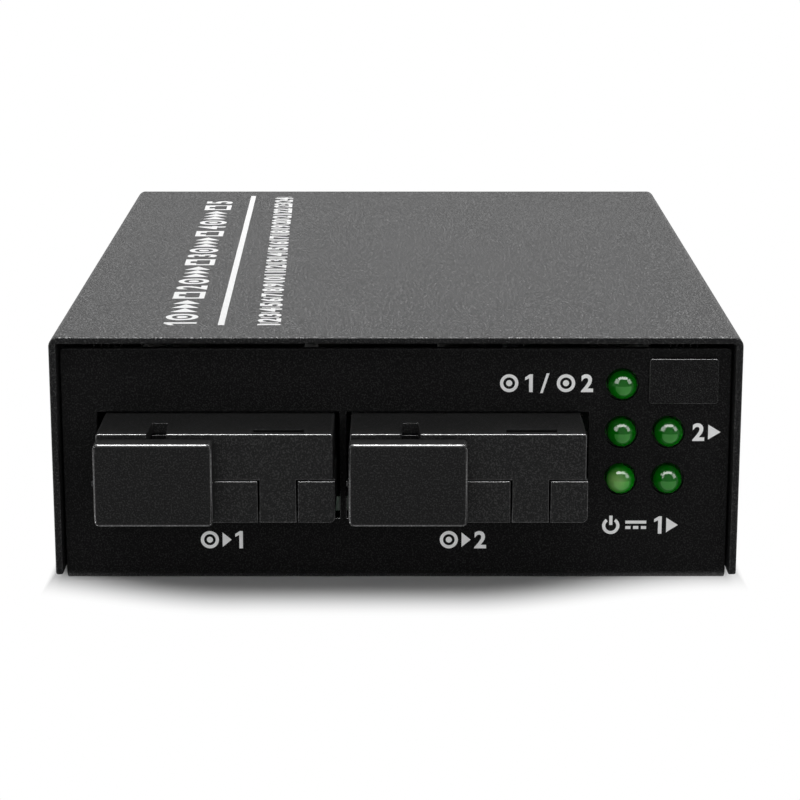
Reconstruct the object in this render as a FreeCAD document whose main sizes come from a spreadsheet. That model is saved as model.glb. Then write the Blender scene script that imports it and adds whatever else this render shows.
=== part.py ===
import FreeCAD, Part
import Sketcher
import math
import os
import re

# Fibre media converter: a folded steel case with two single-fibre transceivers and five
# indicators on its front panel, and two copper ports and a power inlet on its rear panel.
# Frame: origin at the centre of the underside, front towards -Y, up is +Z. Millimetres.

doc = FreeCAD.newDocument("FibreMediaConverter")
sheet = doc.addObject("Spreadsheet::Sheet", "Sizes")

SIZES = {
    # case
    "case_width": 73.0,
    "case_length": 94.5,
    "case_height": 27.0,
    "sheet_steel": 0.8,
    "cover_bend": 1.1,
    "cover_foot": 0.85,
    "tray_bend": 1.1,
    "panel_recess": 1.2,
    "panel_gap": 0.25,
    "panel_gap_top": 0.7,
    "panel_corner": 0.4,
    "vent_width": 2.2,
    "vent_low": 10.45,
    "vent_high": 21.45,
    "vent_pitch": 7.0,
    "vent_count": 5,
    "vent_first": -14.0,
    # side walls of the tray and the screws that hold the cover to them
    "wall_height": 6.8,
    "wall_foot": 1.0,
    "wall_clearance": 0.05,
    "corner_relief": 0.8,
    "cover_screw_place": 33.0,
    "cover_screw_height": 4.0,
    "cover_sink": 0.7,
    "cover_screw_head": 2.4,
    "cover_screw_thread": 1.5,
    "cover_screw_length": 5.0,
    "screw_clearance": 0.05,
    "recess_width": 0.8,
    "recess_span": 2.8,
    "recess_depth": 0.9,
    # main board on its standoffs
    "standoff_height": 6.5,
    "standoff_flats": 5.5,
    "standoff_shank": 2.1,
    "standoff_bore": 1.55,
    "board_thickness": 1.6,
    "board_edge": 0.5,
    "board_hole": 1.7,
    "board_screw_head": 2.7,
    "board_screw_head_height": 1.9,
    "board_screw_length": 5.0,
    "front_left_hole_x": -30.0,
    "front_left_hole_y": -10.5,
    "front_right_hole_x": 29.5,
    "front_right_hole_y": -22.0,
    "rear_left_hole_x": -30.0,
    "rear_left_hole_y": 19.0,
    "rear_right_hole_x": 29.5,
    "rear_right_hole_y": 20.0,
    # front panel
    "window_side": 0.62,
    "window_web": 0.75,
    "window_under": 0.45,
    "window_over": 0.2,
    "led_column": 23.96,
    "led_row": 11.2,
    "led_across": 5.0,
    "led_up": 5.18,
    "led_hole": 1.75,
    "plate_left": 26.75,
    "plate_right": 34.1,
    "plate_bottom": 19.55,
    "plate_top": 24.45,
    "plate_proud": 0.4,
    "plate_corner": 0.35,
    # transceivers
    "module_left": -31.1,
    "module_pitch": 26.15,
    "module_width": 24.8,
    "module_length": 39.6,
    "module_height": 9.5,
    "module_proud": 7.3,
    "module_seam": 4.55,
    "module_step": 0.2,
    "seam_gap": 0.12,
    "module_wall": 1.2,
    "module_floor": 0.9,
    "module_edge": 0.3,
    "port_centre": 6.2,
    "port_height": 4.65,
    "port_width": 9.2,
    "port_rise": 7.5,
    "port_depth": 11.5,
    "key_offset": 0.25,
    "key_width": 2.05,
    "key_back_width": 1.6,
    "key_depth": 4.5,
    "latch_left": 16.35,
    "latch_right": 21.6,
    "latch_front": 0.75,
    "latch_back": 1.85,
    "latch_sink": 1.0,
    "tongue_left": 16.95,
    "tongue_right": 20.8,
    "tongue_gap": 0.17,
    "foot_spread": 10.16,
    "foot_place": 13.5,
    "foot_width": 0.95,
    "foot_length": 3.2,
    "pin_pitch": 2.54,
    "pin_count": 9,
    "pin_place": 35.0,
    "pin_width": 0.45,
    "pin_length": 3.2,
    "pin_clearance": 0.15,
    "inner_board_height": 2.0,
    "inner_board_thickness": 1.0,
    "inner_board_front": 25.0,
    "inner_board_gap": 0.2,
    "ledge_width": 0.7,
    "barrel_outside": 2.0,
    "barrel_bore": 1.25,
    "barrel_reach": 7.0,
    "barrel_bore_depth": 8.0,
    "barrel_flange": 3.4,
    "barrel_flange_length": 1.2,
    "barrel_body": 2.8,
    "barrel_body_length": 8.0,
    "barrel_gap": 0.1,
    "hook_plate": 1.0,
    "hook_reach": 8.0,
    "hook_inside": 3.3,
    "hook_thickness": 0.8,
    "hook_nose": 0.55,
    "hook_height": 2.8,
    # dust caps
    "cap_width": 12.15,
    "cap_height": 8.7,
    "cap_proud": 2.4,
    "cap_corner": 0.5,
    "cap_edge": 0.15,
    "cap_gap": 0.1,
    "cap_fit": 0.2,
    "cap_skirt": 7.5,
    "cap_slot": 3.6,
    "cap_bore": 2.3,
    "cap_nub": 0.25,
    "cap_nub_height": 0.5,
    "cap_nub_inset": 0.8,
    # indicators
    "led_radius": 1.6,
    "led_flange": 1.9,
    "led_flange_length": 1.0,
    "led_length": 5.3,
    "led_proud": 1.6,
    "led_fit": 0.1,
    "lead_width": 0.5,
    "lead_pitch": 2.54,
    "lead_run": 1.6,
    "lead_step": 1.5,
    "lead_tail": 2.4,
    "holder_wall": 0.9,
    "holder_margin": 0.3,
    # copper ports
    "jack_first": -21.0,
    "jack_pitch": 18.5,
    "jack_width": 15.9,
    "jack_height": 13.4,
    "jack_length": 21.2,
    "jack_proud": 0.4,
    "jack_clearance": 0.25,
    "shield_sheet": 0.25,
    "plug_width": 11.9,
    "plug_floor": 2.7,
    "plug_top": 9.6,
    "plug_depth": 13.0,
    "plug_key_width": 6.3,
    "plug_key_top": 11.6,
    "contact_count": 8,
    "contact_pitch": 1.02,
    "contact_width": 0.4,
    "contact_sheet": 0.3,
    "contact_front": 2.2,
    "contact_rise": 1.5,
    "contact_back": 8.5,
    "contact_tail": 2.6,
    "shield_tab_width": 1.5,
    "shield_tab_place": 9.5,
    # power inlet
    "inlet_place": 22.0,
    "inlet_width": 9.0,
    "inlet_height": 11.0,
    "inlet_length": 14.0,
    "inlet_front": 3.4,
    "inlet_shoulder": 1.0,
    "inlet_axis": 6.5,
    "inlet_bore": 3.15,
    "inlet_depth": 9.8,
    "inlet_pin": 1.05,
    "inlet_root": 1.4,
    "inlet_pin_inset": 0.6,
    "inlet_tab_width": 2.4,
    "inlet_tab_sheet": 0.5,
    "inlet_spring_width": 2.6,
    "inlet_spring_sheet": 0.3,
    # parts on the main board
    "chip_chamfer": 0.4,
    "switch_chip_wide": 14.0,
    "switch_chip_deep": 14.0,
    "switch_chip_tall": 1.5,
    "switch_chip_x": -6.0,
    "switch_chip_y": -3.0,
    "magnetics_first_wide": 12.7,
    "magnetics_first_deep": 7.1,
    "magnetics_first_tall": 5.6,
    "magnetics_first_x": -18.5,
    "magnetics_first_y": 18.0,
    "magnetics_second_wide": 12.7,
    "magnetics_second_deep": 7.1,
    "magnetics_second_tall": 5.6,
    "magnetics_second_x": -1.0,
    "magnetics_second_y": 18.0,
    "regulator_wide": 6.6,
    "regulator_deep": 3.6,
    "regulator_tall": 1.7,
    "regulator_x": 12.0,
    "regulator_y": -9.0,
    "inductor_wide": 6.5,
    "inductor_deep": 6.5,
    "inductor_tall": 3.2,
    "inductor_x": 22.0,
    "inductor_y": 8.0,
    "crystal_wide": 11.2,
    "crystal_deep": 4.7,
    "crystal_tall": 3.6,
    "crystal_x": 7.0,
    "crystal_y": 0.0,
    "capacitor_radius": 3.15,
    "capacitor_tall": 7.7,
    "capacitor_groove": 0.4,
    "capacitor_groove_height": 1.2,
    "capacitor_pitch": 8.0,
    "capacitor_count": 2,
    "capacitor_x": 13.5,
    "capacitor_y": 16.0,
}

for row, (alias, amount) in enumerate(SIZES.items(), 1):
    sheet.set(f"A{row}", str(amount))
    sheet.setAlias(f"A{row}", alias)
doc.recompute()

UP = FreeCAD.Vector(0, 0, 1)

# places that several pieces share, as expressions over the sheet
BOARD_TOP = "(sheet_steel + standoff_height + board_thickness)"
BOARD_UNDER = "(sheet_steel + standoff_height)"
COVER_INSIDE = "(case_width / 2 - sheet_steel)"
PANEL_SIDE = "(case_width / 2 - sheet_steel - panel_gap)"
PANEL_TOP = "(case_height - sheet_steel - panel_gap_top)"
PANEL_FRONT = "(panel_recess - case_length / 2)"
PANEL_REAR = "(case_length / 2 - panel_recess)"
WALL_OUTSIDE = f"({COVER_INSIDE} - wall_clearance)"
WALL_INSIDE = f"({WALL_OUTSIDE} - sheet_steel)"
BOARD_SIDE = f"({WALL_INSIDE} - board_edge)"
BOARD_FRONT = f"({PANEL_FRONT} + sheet_steel + board_edge)"
BOARD_REAR = f"({PANEL_REAR} - sheet_steel - board_edge)"
MODULE_FRONT = "(-case_length / 2 - module_proud)"
BOARD_HOLES = [
    (f"{place}_hole_x", f"{place}_hole_y")
    for place in ("front_left", "front_right", "rear_left", "rear_right")
]
JACKS = ["jack_first", "(jack_first + jack_pitch)"]
JACK_FACE = f"({PANEL_REAR} + jack_proud)"
CONTACT_SPAN = "(contact_pitch * (contact_count - 1) / 2 + contact_width / 2 + pin_clearance)"
CONTACT_TAIL_REAR = "(plug_depth - contact_sheet)"
LEAD_ROOM = "(lead_width / 2 + pin_clearance)"
LED_BACK = f"({PANEL_FRONT} - led_proud + led_length)"
LEFT_WALL, RIGHT_WALL = "module_wall", "(module_width - module_wall)"
LEFT_LEDGE, RIGHT_LEDGE = f"{LEFT_WALL} + ledge_width", f"{RIGHT_WALL} - ledge_width"
PIN_FIRST = "(module_width / 2 - pin_pitch * (pin_count - 1) / 2)"
MODULES = ["module_left", "(module_left + module_pitch)"]
LEDS = {
    "led_power": ("led_column", "led_row"),
    "led_right_low": ("(led_column + led_across)", "led_row"),
    "led_left_middle": ("led_column", "(led_row + led_up)"),
    "led_right_middle": ("(led_column + led_across)", "(led_row + led_up)"),
    "led_left_top": ("led_column", "(led_row + 2 * led_up)"),
}


def bound(expression):
    """The expression with each size name pointing at its cell."""
    names = re.compile(r"[a-z_]+")
    return names.sub(lambda name: ("Sizes." if name[0] in SIZES else "") + name[0], str(expression))


def number(expression):
    """What the expression gives with the sheet's present sizes."""
    return float(sheet.evalExpression(bound(expression)))


# ---- sketch shapes: each returns a function that draws itself into a sketch ----


def pin_down(sketch, element, point, x, y):
    """Dimension one point of a sketch from the sketch's origin."""
    for kind, place in (("DistanceX", x), ("DistanceY", y)):
        dimension = Sketcher.Constraint(kind, -1, 1, element, point, number(place))
        index = sketch.addConstraint(dimension)
        sketch.setExpression(f"Constraints[{index}]", bound(place))


def outline(*points):
    """A closed polygon through points given as pairs of expressions."""

    def draw(sketch):
        places = [FreeCAD.Vector(number(x), number(y), 0) for x, y in points]
        first = sketch.GeometryCount
        for start, end in zip(places, places[1:] + places[:1]):
            sketch.addGeometry(Part.LineSegment(start, end), False)
        for index, (x, y) in enumerate(points):
            before = first + (index - 1) % len(points)
            sketch.addConstraint(Sketcher.Constraint("Coincident", before, 2, first + index, 1))
            pin_down(sketch, first + index, 1, x, y)

    return draw


def rectangle(left, bottom, right, top):
    """An upright rectangle from its lower left to its upper right corner."""

    def draw(sketch):
        low = FreeCAD.Vector(number(left), number(bottom), 0)
        high = FreeCAD.Vector(number(right), number(top), 0)
        corners = [low, FreeCAD.Vector(high.x, low.y, 0), high, FreeCAD.Vector(low.x, high.y, 0)]
        first = sketch.GeometryCount
        for start, end in zip(corners, corners[1:] + corners[:1]):
            sketch.addGeometry(Part.LineSegment(start, end), False)
        for side in range(4):
            after = first + (side + 1) % 4
            sketch.addConstraint(Sketcher.Constraint("Coincident", first + side, 2, after, 1))
            direction = "Horizontal" if side % 2 == 0 else "Vertical"
            sketch.addConstraint(Sketcher.Constraint(direction, first + side))
        pin_down(sketch, first, 1, left, bottom)
        pin_down(sketch, first + 2, 1, right, top)

    return draw


def circle(x, y, radius):
    """A circle from its centre and radius."""

    def draw(sketch):
        centre = FreeCAD.Vector(number(x), number(y), 0)
        ring = sketch.addGeometry(Part.Circle(centre, UP, number(radius)), False)
        index = sketch.addConstraint(Sketcher.Constraint("Radius", ring, number(radius)))
        sketch.setExpression(f"Constraints[{index}]", bound(radius))
        pin_down(sketch, ring, 3, x, y)

    return draw


def slot(x, low, high, width):
    """An upright slot with round ends."""

    def draw(sketch):
        half = number(width) / 2
        middle, bottom, top = number(x), number(low) + half, number(high) - half
        low_ring = Part.Circle(FreeCAD.Vector(middle, bottom, 0), UP, half)
        high_ring = Part.Circle(FreeCAD.Vector(middle, top, 0), UP, half)
        corners = [(half, bottom), (half, top), (-half, top), (-half, bottom)]
        ends = [FreeCAD.Vector(middle + across, height, 0) for across, height in corners]
        foot = sketch.addGeometry(Part.ArcOfCircle(low_ring, math.pi, 2 * math.pi), False)
        right = sketch.addGeometry(Part.LineSegment(ends[0], ends[1]), False)
        head = sketch.addGeometry(Part.ArcOfCircle(high_ring, 0, math.pi), False)
        left = sketch.addGeometry(Part.LineSegment(ends[2], ends[3]), False)
        for first, second in ((foot, right), (right, head), (head, left), (left, foot)):
            sketch.addConstraint(Sketcher.Constraint("Tangent", first, 2, second, 1))
        index = sketch.addConstraint(Sketcher.Constraint("Radius", foot, half))
        sketch.setExpression(f"Constraints[{index}]", bound(f"{width} / 2"))
        pin_down(sketch, foot, 3, x, f"{low} + {width} / 2")
        pin_down(sketch, head, 3, x, f"{high} - {width} / 2")

    return draw


def hexagon(x, y, flats):
    """A hexagon from its centre and its size across the flats."""
    reach = f"{flats} / 2 / cos(30 deg)"
    angles = [f"{degrees} deg" for degrees in range(0, 360, 60)]
    corners = [(f"{x} + {reach} * cos({angle})", f"{y} + {reach} * sin({angle})") for angle in angles]
    return outline(*corners)


def cross(x, y, span, width):
    """The plus-shaped mouth of a cross recess."""
    far, near = f"{span} / 2", f"{width} / 2"
    corners = []
    for across, up in ((1, 1), (-1, 1), (-1, -1), (1, -1)):
        wide = (f"{x} + {across} * {far}", f"{y} + {up} * {near}")
        tall = (f"{x} + {across} * {near}", f"{y} + {up} * {far}")
        inner = (f"{x} + {across} * {near}", f"{y} + {up} * {near}")
        corners += [wide, inner, tall] if across == up else [tall, inner, wide]
    return outline(*corners)


# ---- features ----


def new_body(name):
    """A named body that may hold several separate solids."""
    body = doc.addObject("PartDesign::Body", name)
    body.Label = name
    body.AllowCompound = True
    return body


def new_sketch(body, plane, place, shapes, up="0"):
    """A sketch on one of the body's origin planes, set off along the plane's normal and upwards."""
    sketch = body.newObject("Sketcher::SketchObject", f"{body.Name}_sketch")
    support = next(item for item in body.Origin.OriginFeatures if item.Role == f"{plane}_Plane")
    sketch.AttachmentSupport = [(support, "")]
    sketch.MapMode = "FlatFace"
    sketch.setExpression("AttachmentOffset.Base.z", bound(place))
    sketch.setExpression("AttachmentOffset.Base.y", bound(up))
    for draw in shapes:
        draw(sketch)
    return sketch


def add(body, plane, low, high, *shapes):
    """Pad shapes between two places along the plane's axis."""
    # the XZ plane looks along -Y, so its pads start at the high end
    start = f"-({high})" if plane == "XZ" else low
    sketch = new_sketch(body, plane, start, shapes)
    pad = body.newObject("PartDesign::Pad", f"{body.Name}_pad")
    pad.Profile = sketch
    pad.setExpression("Length", bound(f"({high}) - ({low})"))
    return pad


def cut(body, plane, low, high, *shapes):
    """Pocket shapes out between two places along the plane's axis."""
    start = f"-({low})" if plane == "XZ" else high
    sketch = new_sketch(body, plane, start, shapes)
    pocket = body.newObject("PartDesign::Pocket", f"{body.Name}_pocket")
    pocket.Profile = sketch
    pocket.setExpression("Length", bound(f"({high}) - ({low})"))
    return pocket


def turn(body, plane, axis, *shapes, up="0"):
    """Revolve shapes a full turn about one of the sketch's axes."""
    sketch = new_sketch(body, plane, "0", shapes, up)
    revolution = body.newObject("PartDesign::Revolution", f"{body.Name}_turn")
    revolution.Profile = sketch
    revolution.ReferenceAxis = (sketch, [axis])
    revolution.Angle = 360
    return revolution


def repeat(body, feature, direction, pitch, count):
    """Repeat a feature in a row along one of the body's axes."""
    pattern = body.newObject("PartDesign::LinearPattern", f"{body.Name}_row")
    pattern.Originals = [feature]
    axis = next(item for item in body.Origin.OriginFeatures if item.Role == f"{direction}_Axis")
    pattern.Direction = (axis, [""])
    pattern.setExpression("Length", bound(f"{pitch} * ({count} - 1)"))
    pattern.setExpression("Occurrences", bound(count))
    body.Tip = pattern
    return pattern


def mirror(body, plane):
    """Mirror all that the body holds so far in one of its origin planes."""
    mirrored = body.newObject("PartDesign::Mirrored", f"{body.Name}_mirror")
    mirrored.TransformMode = "Whole shape"
    support = next(item for item in body.Origin.OriginFeatures if item.Role == f"{plane}_Plane")
    mirrored.MirrorPlane = (support, [""])
    body.Tip = mirrored
    return mirrored


def near(places):
    """A test for points that lie at one of the given places along each axis named."""
    wanted = {axis: [number(place) for place in given] for axis, given in places.items()}

    def fits(point):
        gaps = [[abs(getattr(point, axis) - spot) for spot in spots] for axis, spots in wanted.items()]
        return all(min(gap) < 0.01 for gap in gaps)

    return fits


def edges(direction, **places):
    """A test for straight edges along one axis whose middle lies at the given places."""
    fits = near(places)

    def straight(edge):
        if not isinstance(edge.Curve, Part.Line):
            return False
        along = abs(getattr(edge.Curve.Direction, direction.lower()))
        return along > 0.999 and fits(edge.CenterOfMass)

    return straight


def rings(**places):
    """A test for circular edges whose centre lies at the given places."""
    fits = near(places)
    return lambda edge: isinstance(edge.Curve, Part.Circle) and fits(edge.Curve.Center)


def soften(body, kind, size, *tests):
    """Fillet or chamfer the edges that pass any of the tests."""
    doc.recompute()
    base = body.Tip
    chosen = [any(test(edge) for test in tests) for edge in base.Shape.Edges]
    names = [f"Edge{index}" for index, wanted in enumerate(chosen, 1) if wanted]
    if not names:
        raise ValueError(f"{body.Label}: no edge to soften")
    feature = body.newObject(f"PartDesign::{kind}", f"{body.Name}_{kind.lower()}")
    feature.Base = (base, names)
    feature.setExpression("Radius" if kind == "Fillet" else "Size", bound(size))
    return feature


def place(body, x="0", y="0", z="0"):
    """Put a body that was built about its own origin where it belongs."""
    for axis, amount in (("x", x), ("y", y), ("z", z)):
        body.setExpression(f"Placement.Base.{axis}", bound(amount))
    return body


# ---- the case ----


def cover():
    """Inverted U of folded sheet with a row of vent slots and two screw holes in each side."""
    body = new_body("cover")
    half = "case_width / 2"
    outside = rectangle(f"-{half}", "cover_foot", half, "case_height")
    add(body, "XZ", "-case_length / 2", "case_length / 2", outside)
    soften(body, "Fillet", "cover_bend", edges("Y", z=["case_height"]))
    inside = rectangle(f"-{COVER_INSIDE}", "cover_foot", COVER_INSIDE, "case_height - sheet_steel")
    cut(body, "XZ", "-case_length / 2", "case_length / 2", inside)
    soften(body, "Fillet", "cover_bend - sheet_steel", edges("Y", z=["case_height - sheet_steel"]))
    vent = cut(body, "YZ", f"-{half}", half, slot("vent_first", "vent_low", "vent_high", "vent_width"))
    repeat(body, vent, "Y", "vent_pitch", "vent_count")
    neck = "cover_screw_head - cover_sink + screw_clearance"
    holes = [circle(f"{side}cover_screw_place", "cover_screw_height", neck) for side in ("-", "")]
    cut(body, "YZ", f"-{half}", half, *holes)
    places = ["-cover_screw_place", "cover_screw_place"]
    sunk = rings(x=[f"-{half}", half], y=places, z=["cover_screw_height"])
    soften(body, "Chamfer", "cover_sink", sunk)
    return body


def chassis_tray():
    """Floor with front and rear panels and two low side walls, all bent up from it."""
    body = new_body("chassis_tray")
    panels = rectangle(PANEL_FRONT, "0", PANEL_REAR, PANEL_TOP)
    add(body, "YZ", f"-{PANEL_SIDE}", PANEL_SIDE, panels)
    soften(body, "Fillet", "tray_bend", edges("X", z=["0"]))
    low, high = f"{PANEL_FRONT} + sheet_steel", f"{PANEL_REAR} - sheet_steel"
    cut(body, "YZ", f"-{PANEL_SIDE}", PANEL_SIDE, rectangle(low, "sheet_steel", high, PANEL_TOP))
    soften(body, "Fillet", "tray_bend - sheet_steel", edges("X", z=["sheet_steel"]))
    soften(body, "Fillet", "panel_corner", edges("Y", z=[PANEL_TOP]))
    # the floor is narrower between the panels, so that each wall's bend ends in a relief notch
    front = f"({PANEL_FRONT} + tray_bend + corner_relief / 4)"
    rear = f"({PANEL_REAR} - tray_bend - corner_relief / 4)"
    floor_side = f"({WALL_OUTSIDE} - tray_bend - corner_relief / 4)"
    foot = f"({floor_side} - wall_foot)"
    right_strip = rectangle(floor_side, front, PANEL_SIDE, rear)
    left_strip = rectangle(f"-{PANEL_SIDE}", front, f"-{floor_side}", rear)
    cut(body, "XY", "0", "sheet_steel", left_strip, right_strip)
    for side in ("", "-"):
        fold = [
            (WALL_OUTSIDE, "0"),
            (WALL_OUTSIDE, "wall_height"),
            (WALL_INSIDE, "wall_height"),
            (WALL_INSIDE, "sheet_steel"),
            (foot, "sheet_steel"),
            (foot, "0"),
        ]
        wall = outline(*[(f"{side}{x}", z) for x, z in fold])
        add(body, "XZ", f"{front} + corner_relief", f"{rear} - corner_relief", wall)
    soften(body, "Fillet", "tray_bend", edges("Y", x=[WALL_OUTSIDE, f"-{WALL_OUTSIDE}"], z=["0"]))
    bends = edges("Y", x=[WALL_INSIDE, f"-{WALL_INSIDE}"], z=["sheet_steel"])
    soften(body, "Fillet", "tray_bend - sheet_steel", bends)
    thread = "cover_screw_thread + screw_clearance"
    holes = [circle(f"{side}cover_screw_place", "cover_screw_height", thread) for side in ("-", "")]
    cut(body, "YZ", f"-{WALL_OUTSIDE}", WALL_OUTSIDE, *holes)
    lamps = [circle(x, z, "led_hole") for x, z in LEDS.values()]
    cut(body, "XZ", PANEL_FRONT, f"{PANEL_FRONT} + sheet_steel", *windows(), *lamps)
    ports = [socket_opening(x, "jack_width", "jack_height") for x in JACKS]
    ports.append(socket_opening("inlet_place", "inlet_width", "inlet_height"))
    cut(body, "XZ", f"{PANEL_REAR} - sheet_steel", PANEL_REAR, *ports)
    shanks = [circle(x, y, "standoff_shank + screw_clearance") for x, y in BOARD_HOLES]
    cut(body, "XY", "0", "sheet_steel", *shanks)
    return body


def windows():
    """The two openings for the transceivers, with a narrow web of the panel between them."""
    low, high = f"{BOARD_UNDER} - window_under", f"{BOARD_TOP} + module_height + window_over"
    first, last = MODULES
    middle = f"({first} + {last} + module_width) / 2"
    return [
        rectangle(f"{first} - window_side", low, f"{middle} - window_web / 2", high),
        rectangle(f"{middle} + window_web / 2", low, f"{last} + module_width + window_side", high),
    ]


def socket_opening(middle, width, height):
    """The hole in the rear panel around a socket that stands on the board."""
    half = f"({width} / 2 + jack_clearance)"
    low, high = f"{BOARD_TOP} - jack_clearance", f"{BOARD_TOP} + {height} + jack_clearance"
    return rectangle(f"{middle} - {half}", low, f"{middle} + {half}", high)


def cover_screws():
    """Four countersunk screws, driven from the sides through the cover into the tray's walls."""
    body = new_body("cover_screws")
    face = "case_width / 2"
    tip = f"{face} - cover_screw_length"
    shank = "cover_screw_thread"
    # half section about the screw's own axis, which the sketch's horizontal axis carries
    neck = f"{face} - cover_screw_head + {shank}"
    half = [(tip, "0"), (face, "0"), (face, "cover_screw_head"), (neck, shank), (tip, shank)]
    turn(body, "XY", "H_Axis", outline(*half), up="cover_screw_place")
    mouth = cross("cover_screw_place", "0", "recess_span", "recess_width")
    cut(body, "YZ", f"{face} - recess_depth", face, mouth)
    mirror(body, "YZ")
    mirror(body, "XZ")
    return place(body, z="cover_screw_height")


def standoffs():
    """Four hexagonal standoffs whose shanks are pressed into the floor."""
    body = new_body("standoffs")
    bodies = [hexagon(x, y, "standoff_flats") for x, y in BOARD_HOLES]
    add(body, "XY", "sheet_steel", BOARD_UNDER, *bodies)
    add(body, "XY", "0", "sheet_steel", *[circle(x, y, "standoff_shank") for x, y in BOARD_HOLES])
    cut(body, "XY", "0", BOARD_UNDER, *[circle(x, y, "standoff_bore") for x, y in BOARD_HOLES])
    return body


def board_screws():
    """Four pan-head screws that hold the main board to the standoffs."""
    body = new_body("board_screws")
    head_top = f"{BOARD_TOP} + board_screw_head_height"
    add(body, "XY", BOARD_TOP, head_top, *[circle(x, y, "board_screw_head") for x, y in BOARD_HOLES])
    shanks = [circle(x, y, "standoff_bore - screw_clearance") for x, y in BOARD_HOLES]
    add(body, "XY", f"{BOARD_TOP} - board_screw_length", BOARD_TOP, *shanks)
    mouths = [cross(x, y, "recess_span", "recess_width") for x, y in BOARD_HOLES]
    cut(body, "XY", f"{head_top} - recess_depth", head_top, *mouths)
    return body


def main_board():
    """Circuit board with holes for its screws and for the legs of what stands on it."""
    body = new_body("main_board")
    outside = rectangle(f"-{BOARD_SIDE}", BOARD_FRONT, BOARD_SIDE, BOARD_REAR)
    add(body, "XY", BOARD_UNDER, BOARD_TOP, outside)
    holes = [circle(x, y, "board_hole") for x, y in BOARD_HOLES]
    for left in MODULES:
        y, radius = f"{MODULE_FRONT} + foot_place", "foot_width + pin_clearance"
        holes += [circle(x, y, radius) for x in foot_places(left)]
    for x, z in LEDS.values():
        low, high = f"{lead_bend(z)} - pin_clearance", f"{lead_bend(z)} + lead_width + pin_clearance"
        for middle in lead_middles(x):
            left, right = f"{middle} - {LEAD_ROOM}", f"{middle} + {LEAD_ROOM}"
            holes.append(rectangle(left, low, right, high))
    cut(body, "XY", BOARD_UNDER, BOARD_TOP, *holes)
    half = "(pin_width / 2 + pin_clearance)"
    for left in MODULES:
        x, y = f"{left} + {PIN_FIRST}", f"{MODULE_FRONT} + pin_place"
        hole = rectangle(f"{x} - {half}", f"{y} - {half}", f"{x} + {half}", f"{y} + {half}")
        repeat(body, cut(body, "XY", BOARD_UNDER, BOARD_TOP, hole), "X", "pin_pitch", "pin_count")
    for middle in JACKS:
        tails = rectangle(
            f"{middle} - {CONTACT_SPAN} - pin_clearance",
            f"{JACK_FACE} - {CONTACT_TAIL_REAR} - pin_clearance",
            f"{middle} + {CONTACT_SPAN} + pin_clearance",
            f"{JACK_FACE} - {CONTACT_TAIL_REAR} + contact_sheet + pin_clearance",
        )
        low = f"{JACK_FACE} - shield_tab_place - shield_tab_width - pin_clearance"
        high = f"{JACK_FACE} - shield_tab_place + pin_clearance"
        half = "(shield_sheet / 2 + pin_clearance)"
        sheets = [f"({middle} {side} (jack_width - shield_sheet) / 2)" for side in "-+"]
        tabs = [rectangle(f"{sheet} - {half}", low, f"{sheet} + {half}", high) for sheet in sheets]
        cut(body, "XY", BOARD_UNDER, BOARD_TOP, tails, *tabs)
    return body


def foot_places(left):
    """Where a transceiver's two mounting feet stand, from its left side."""
    return [f"({left} + module_width / 2 {side} foot_spread)" for side in "-+"]


def blank_plate():
    """Plain raised plate in the upper right corner of the front panel."""
    body = new_body("blank_plate")
    face = rectangle("plate_left", "plate_bottom", "plate_right", "plate_top")
    add(body, "XZ", f"{PANEL_FRONT} - plate_proud", PANEL_FRONT, face)
    soften(body, "Fillet", "plate_corner", edges("Y"))
    return body


# ---- transceivers: built with their lower left front corner at the origin ----


def chamber(low, high):
    """The room behind the port and beside it, open from one housing half into the other."""
    back = "module_length - module_wall"
    side = "module_width - module_wall"
    port_side = "(port_centre + port_width / 2 + module_wall)"
    port_back = "(port_depth + module_wall)"
    shape = outline(
        ("module_wall", port_back),
        (port_side, port_back),
        (port_side, "module_wall"),
        (side, "module_wall"),
        (side, back),
        ("module_wall", back),
    )
    return ("XY", low, high, shape)


def port_mouth(low, high):
    """The square port, between two heights."""
    return rectangle("port_centre - port_width / 2", low, "port_centre + port_width / 2", high)


def upper_housing(index, left):
    """Moulded upper half: roof, key slot, latch recess and the tongue at the front."""
    body = new_body(f"transceiver_{index}_upper")
    shell = rectangle("module_step", "module_seam", "module_width - module_step", "module_height")
    add(body, "XZ", "0", "module_length", shell)
    soften(body, "Fillet", "module_edge", edges("Y", z=["module_height"]))
    cut(body, *chamber("module_seam", "module_height - module_wall"))
    cut(body, "XZ", "0", "port_depth", port_mouth("module_seam", "port_height + port_rise / 2"))
    collar = circle("port_centre", "port_height", "barrel_outside + barrel_gap")
    cut(body, "XZ", "port_depth", "port_depth + module_wall", collar)
    key = key_slot("port_centre + key_offset", "0")
    cut(body, "XY", "port_height + port_rise / 2", "module_height", key)
    recess = rectangle("latch_left", "latch_front", "latch_right", "latch_back")
    cut(body, "XY", "module_height - latch_sink", "module_height", recess)
    tongue = rectangle("tongue_left", "0", "tongue_right", "module_seam + module_wall")
    add(body, "XZ", "0", "module_wall", tongue)
    return place(body, left, MODULE_FRONT, BOARD_TOP)


def key_slot(middle, margin):
    """The plug's key way, narrower towards its back."""
    front, back = f"(key_width / 2 + {margin})", f"(key_back_width / 2 + {margin})"
    return outline(
        (f"{middle} - {front}", "0"),
        (f"{middle} + {front}", "0"),
        (f"{middle} + {back}", "key_depth"),
        (f"{middle} - {back}", "key_depth"),
    )


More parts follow.
